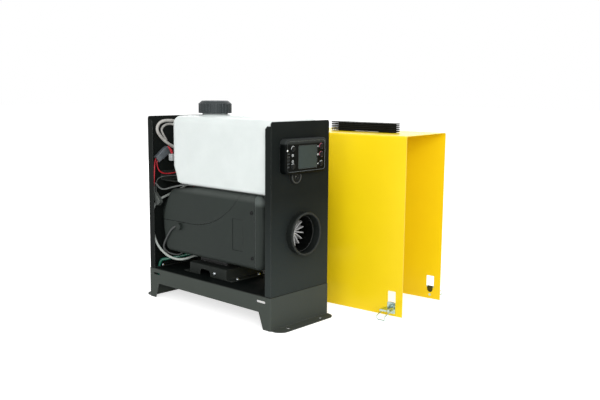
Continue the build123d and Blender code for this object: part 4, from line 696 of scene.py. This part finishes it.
def makeSeam():
    # rays towards the tank's middle find its outline in the plane Y = 0; a half round bead is carried
    # along it, and each end, at the neck, draws in to a point
    v = seam
    middle = Vector(v["middle"])
    missed = (0, 0, 1, 0, 0, 1)     # above the limit, so it drops out with the neck
    hits = []
    for angle in np.linspace(0, 2 * np.pi, v["rays"], endpoint=False):
        outward = Vector((math.cos(angle), 0, math.sin(angle)))
        found, place, normal, _ = tankShell.ray_cast(middle + outward * v["reach"], -outward)
        hits.append((*place, *normal) if found else missed)
    hits = np.array(hits)
    keep = hits[:, 2] < v["topLimit"]
    first = int(np.argmax(~keep & np.roll(keep, -1))) + 1
    hits = np.roll(hits, -first, axis=0)[:int(keep.sum())]
    path, normal = hits[:, :3], hits[:, 3:]
    normal[:, 1] = 0
    normal = np.roll(normal, 1, axis=0) + normal + np.roll(normal, -1, axis=0)
    normal /= np.linalg.norm(normal, axis=1)[:, None]
    around = np.linspace(0, np.pi, v["across"])
    bead = (path[:, None] + np.cos(around)[None, :, None] * np.array([0, v["width"] / 2, 0])
            + (np.sin(around) * v["height"] - v["sink"])[None, :, None] * normal[:, None])
    rings = closeEnds(bead)
    makePiece("tankSeam", rings.reshape(-1, 3), gridQuads(len(rings), v["across"]), ("tankSkin",), "heater")


makeSeam()
print("tank seam carried round")


# hoses, sleeves and leads: each is a smooth spline led by the points that its solid is made from, with the
# solid's length; one shorter than the stub length only joins two fittings
cordShape = dict(bevelSteps=6, runSteps=16, order=3, stubLength=0.03)
cordRoutes = {
    "filterHose": dict(finish="whiteHose", slot="hose_white", node="fuel_hoses", radius=0.0026,
                       length=0.101, stiff="medium", route=[
        (-0.1400, 0.0550, 0.3075), (-0.1400, 0.0550, 0.3505), (-0.1520, 0.0200, 0.3620),
        (-0.1520, 0.0200, 0.3290)]),
    "heaterHose": dict(finish="whiteHose", slot="hose_white", node="fuel_hoses", radius=0.0026,
                       length=0.344, stiff="medium", route=[
        (-0.1520, 0.0200, 0.2890), (-0.1520, 0.0200, 0.2560), (-0.1590, -0.0020, 0.2300),
        (-0.1715, -0.0340, 0.2175), (-0.1756, -0.0640, 0.2060), (-0.1757, -0.0758, 0.1880),
        (-0.1757, -0.0758, 0.1500), (-0.1740, -0.0735, 0.1260), (-0.1600, -0.0690, 0.1030),
        (-0.1330, -0.0630, 0.0875), (-0.1050, -0.0520, 0.0855), (-0.0950, -0.0220, 0.0945),
        (-0.0800, -0.0210, 0.0950)]),
    "dripHose": dict(finish="greenHose", slot="hose_green", node="drip_hose", radius=0.0032,
                     length=0.147, stiff="medium", route=[
        (-0.0800, -0.0060, 0.0970), (-0.0990, -0.0060, 0.0970), (-0.1220, -0.0300, 0.0910),
        (-0.1470, -0.0580, 0.0830), (-0.1680, -0.0680, 0.0790), (-0.1680, -0.0680, 0.0420)]),
    "outerSleeve": dict(finish="greySleeve", slot="sleeve_grey", node="harness_sleeves", radius=0.0031,
                        length=0.315, stiff="medium", route=[
        (-0.1240, 0.0250, 0.2253), (-0.1240, 0.0250, 0.2680), (-0.1260, 0.0200, 0.3220),
        (-0.1460, -0.0120, 0.3720), (-0.1600, -0.0580, 0.3790), (-0.1600, -0.0760, 0.3600),
        (-0.1600, -0.0580, 0.3370), (-0.1570, -0.0360, 0.3220), (-0.1520, -0.0200, 0.3145),
        (-0.1520, -0.0030, 0.3145)]),
    "innerSleeve": dict(finish="greySleeve", slot="sleeve_grey", node="harness_sleeves", radius=0.0023,
                        length=0.225, stiff="medium", route=[
        (-0.1240, 0.0140, 0.2253), (-0.1240, 0.0140, 0.2680), (-0.1280, 0.0100, 0.3250),
        (-0.1520, -0.0140, 0.3620), (-0.1660, -0.0380, 0.3710), (-0.1660, -0.0580, 0.3600),
        (-0.1645, -0.0520, 0.3450), (-0.1635, -0.0450, 0.3340)]),
    "glandLead": dict(finish="redWire", slot="wire_red", node="red_leads", radius=0.0013,
                      length=0.068, stiff="medium", route=[
        (-0.1730, -0.0666, 0.2964), (-0.1690, -0.0725, 0.2900), (-0.1655, -0.0765, 0.2720),
        (-0.1660, -0.0768, 0.2530), (-0.1710, -0.0750, 0.2390), (-0.1780, -0.0705, 0.2340)]),
    "boardLead": dict(finish="redWire", slot="wire_red", node="red_leads", radius=0.0013,
                      length=0.138, stiff="medium", route=[
        (-0.1730, -0.0633, 0.2912), (-0.1720, -0.0660, 0.2850), (-0.1700, -0.0600, 0.2670),
        (-0.1660, -0.0420, 0.2620), (-0.1560, -0.0100, 0.2670), (-0.1360, -0.0020, 0.2620),
        (-0.1220, -0.0060, 0.2460), (-0.1220, -0.0060, 0.2253)]),
    "connectorLeadNear": dict(finish="redWire", slot="wire_red", node="red_leads", radius=0.0013,
                              length=0.018, stiff="medium", route=[
        (-0.1580, -0.0460, 0.3226), (-0.1540, -0.0420, 0.3150), (-0.1520, -0.0410, 0.3065)]),
    "connectorLeadFar": dict(finish="redWire", slot="wire_red", node="red_leads", radius=0.0013,
                             length=0.016, stiff="medium", route=[
        (-0.1580, -0.0430, 0.3205), (-0.1540, -0.0390, 0.3150), (-0.1520, -0.0380, 0.3065)]),
    "controllerLead": dict(finish="greyWire", slot="wire_grey", node="grey_leads", radius=0.0017,
                           length=0.435, stiff="medium", route=[
        (-0.1726, -0.0715, 0.2225), (-0.1740, -0.0725, 0.2360), (-0.1700, -0.0720, 0.2480),
        (-0.1520, -0.0700, 0.2305), (-0.1120, -0.0650, 0.2430), (-0.0800, -0.0575, 0.2487),
        (-0.0300, -0.0565, 0.2487), (0.0200, -0.0575, 0.2487), (0.0700, -0.0565, 0.2487),
        (0.1200, -0.0575, 0.2487), (0.1690, -0.0565, 0.2486), (0.1736, -0.0560, 0.2590),
        (0.1736, -0.0460, 0.2780), (0.1736, -0.0190, 0.2840), (0.1840, -0.0180, 0.2840)]),
    "thinLead": dict(finish="greyWire", slot="wire_grey", node="grey_leads", radius=0.0008,
                     length=0.144, stiff="limp", route=[
        (-0.1702, -0.0690, 0.2235), (-0.1730, -0.0680, 0.2400), (-0.1700, -0.0650, 0.2560),
        (-0.1630, -0.0400, 0.2595), (-0.1500, -0.0100, 0.2570), (-0.1330, 0.0070, 0.2520),
        (-0.1220, 0.0090, 0.2410), (-0.1220, 0.0090, 0.2253)]),
    "sensorLead": dict(finish="darkWire", slot="wire_grey", node="grey_leads", radius=0.0022,
                       length=0.127, stiff="medium", route=[
        (-0.1056, -0.0684, 0.1600), (-0.1180, -0.0684, 0.1560), (-0.1380, -0.0684, 0.1320),
        (-0.1520, -0.0684, 0.1080), (-0.1460, -0.0560, 0.0940), (-0.1220, -0.0410, 0.0910),
        (-0.1200, -0.0400, 0.1024)]),
    "tankHose": dict(finish="whiteHose", slot="hose_white", node="fuel_hoses", radius=0.0026,
                     length=0.016, stiff="medium", route=[
        (-0.1285, 0.0550, 0.2845), (-0.1202, 0.0550, 0.2845), (-0.1120, 0.0550, 0.2845)]),
}
for name, v in cordRoutes.items():
    curve = bpy.data.curves.new(name, "CURVE")
    curve.dimensions = "3D"
    curve.bevel_depth = v["radius"]
    curve.bevel_resolution = cordShape["bevelSteps"]
    curve.resolution_u = cordShape["runSteps"]
    curve.use_fill_caps = True
    line = curve.splines.new("NURBS")
    line.points.add(len(v["route"]) - 1)
    line.points.foreach_set("co", np.column_stack([v["route"], np.ones(len(v["route"]))]).ravel())
    line.order_u = cordShape["order"]
    line.use_endpoint_u = True
    curve.materials.append(finishes[v["finish"]])
    piece = bpy.data.objects.new(name, curve)
    bpy.context.scene.collection.objects.link(piece)
    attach(piece, "heater")
    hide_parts(v["node"])
print("hoses and leads laid,", len(cordRoutes))


# stage, light and camera
studio = dict(floorSize=30.0, floorColour=(0.80, 0.80, 0.80), floorRough=0.9, floorGlow=0.66, airGrey=0.68,
              airWhite=1.0)


def seenByEye(tree):
    # the largest of three signs, which is one for camera, mirror and glass rays and nought for diffuse ones
    path = put(tree, "ShaderNodeLightPath")
    seen = path.outputs["Is Camera Ray"]
    for kind in ("Is Glossy Ray", "Is Transmission Ray"):
        larger = put(tree, "ShaderNodeMath", operation="MAXIMUM")
        tree.links.new(seen, larger.inputs[0])
        tree.links.new(path.outputs[kind], larger.inputs[1])
        seen = larger.outputs[0]
    return seen


def makeFloor():
    # a pale matt plane; where it is seen, a glow is added that lifts it to white
    half = studio["floorSize"] / 2
    mesh = bpy.data.meshes.new("floor")
    mesh.from_pydata([(-half, -half, 0), (half, -half, 0), (half, half, 0), (-half, half, 0)], [],
                     [(0, 1, 2, 3)])
    mat, tree, bsdf = newFinish("paleFloor")
    bsdf.inputs["Roughness"].default_value = studio["floorRough"]
    bsdf.inputs["Specular IOR Level"].default_value = 0.0
    bsdf.inputs["Base Color"].default_value = (*studio["floorColour"], 1)
    glow = put(tree, "ShaderNodeMath", operation="MULTIPLY")
    tree.links.new(seenByEye(tree), glow.inputs[0])
    glow.inputs[1].default_value = studio["floorGlow"]
    emission = put(tree, "ShaderNodeEmission")
    tree.links.new(glow.outputs[0], emission.inputs["Strength"])
    both = put(tree, "ShaderNodeAddShader")
    tree.links.new(bsdf.outputs[0], both.inputs[0])
    tree.links.new(emission.outputs[0], both.inputs[1])
    out = [node for node in tree.nodes if node.type == "OUTPUT_MATERIAL"][0]
    tree.links.new(both.outputs[0], out.inputs[0])
    mesh.materials.append(mat)
    floor = bpy.data.objects.new("floor", mesh)
    bpy.context.scene.collection.objects.link(floor)


def makeWorld():
    # diffuse rays meet a grey air; camera, mirror and glass rays meet a white one
    world = bpy.data.worlds.new("studioAir")
    bpy.context.scene.world = world
    world.use_nodes = True
    tree = world.node_tree
    tree.nodes.clear()
    swap = put(tree, "ShaderNodeMixShader")
    tree.links.new(seenByEye(tree), swap.inputs[0])
    for k, strength in ((1, studio["airGrey"]), (2, studio["airWhite"])):
        air = put(tree, "ShaderNodeBackground")
        air.inputs["Color"].default_value = (1, 1, 1, 1)
        air.inputs["Strength"].default_value = strength
        tree.links.new(air.outputs[0], swap.inputs[k])
    tree.links.new(swap.outputs[0], put(tree, "ShaderNodeOutputWorld").inputs[0])


makeFloor()
makeWorld()
lamps = {   # place, aim, size and power of each soft box
    "nearSideBox": dict(place=(1.3, -2.65, 1.35), aim=(0.05, 0.05, 0.2), size=(2.4, 1.6), power=24),
    "cameraSideBox": dict(place=(2.75, -1.90, 1.3), aim=(0.10, 0.10, 0.2), size=(1.8, 1.5), power=46),
    "topBox": dict(place=(0.2, 0.2, 2.7), aim=(0.1, 0.1, 0.2), size=(2.2, 2.2), power=13),
    "backBox": dict(place=(-1.9, 2.1, 1.5), aim=(0.0, 0.1, 0.2), size=(2.2, 1.6), power=22),
}
for name, v in lamps.items():
    light = bpy.data.lights.new(name, "AREA")
    light.shape = "RECTANGLE"
    light.size, light.size_y = v["size"]
    light.energy = v["power"]
    lamp = bpy.data.objects.new(name, light)
    lamp.location = v["place"]
    toward = Vector(v["aim"]) - lamp.location
    lamp.rotation_euler = toward.to_track_quat("-Z", "Y").to_euler()
    bpy.context.scene.collection.objects.link(lamp)

# the camera solved from the photograph: place in metres, angles in degrees, focal length and sensor in mm;
# it looks ahead by yaw and pitch, and roll turns its right and upward directions about that
lens = dict(place=(1.1290, -1.0542, 0.4471), yaw=132.05, pitch=-8.39, roll=0.484, focal=45.75, sensor=36.0)
yaw, pitch, roll = (math.radians(lens[k]) for k in ("yaw", "pitch", "roll"))
ahead = Vector((math.cos(pitch) * math.cos(yaw), math.cos(pitch) * math.sin(yaw), math.sin(pitch)))
right = ahead.cross(Vector((0, 0, 1))).normalized()
upward = right.cross(ahead)
tiltedRight = right * math.cos(roll) + upward * math.sin(roll)
tiltedUp = upward * math.cos(roll) - right * math.sin(roll)
cameraData = bpy.data.cameras.new("photoCamera")
cameraData.sensor_fit = "HORIZONTAL"
cameraData.sensor_width = lens["sensor"]
cameraData.lens = lens["focal"]
camera = bpy.data.objects.new("photoCamera", cameraData)
turned = Matrix((tiltedRight, tiltedUp, -ahead)).transposed().to_4x4()
camera.matrix_world = Matrix.Translation(lens["place"]) @ turned
bpy.context.scene.collection.objects.link(camera)
bpy.context.scene.camera = camera
bpy.context.scene.view_settings.view_transform = "Standard"
print("stage set")
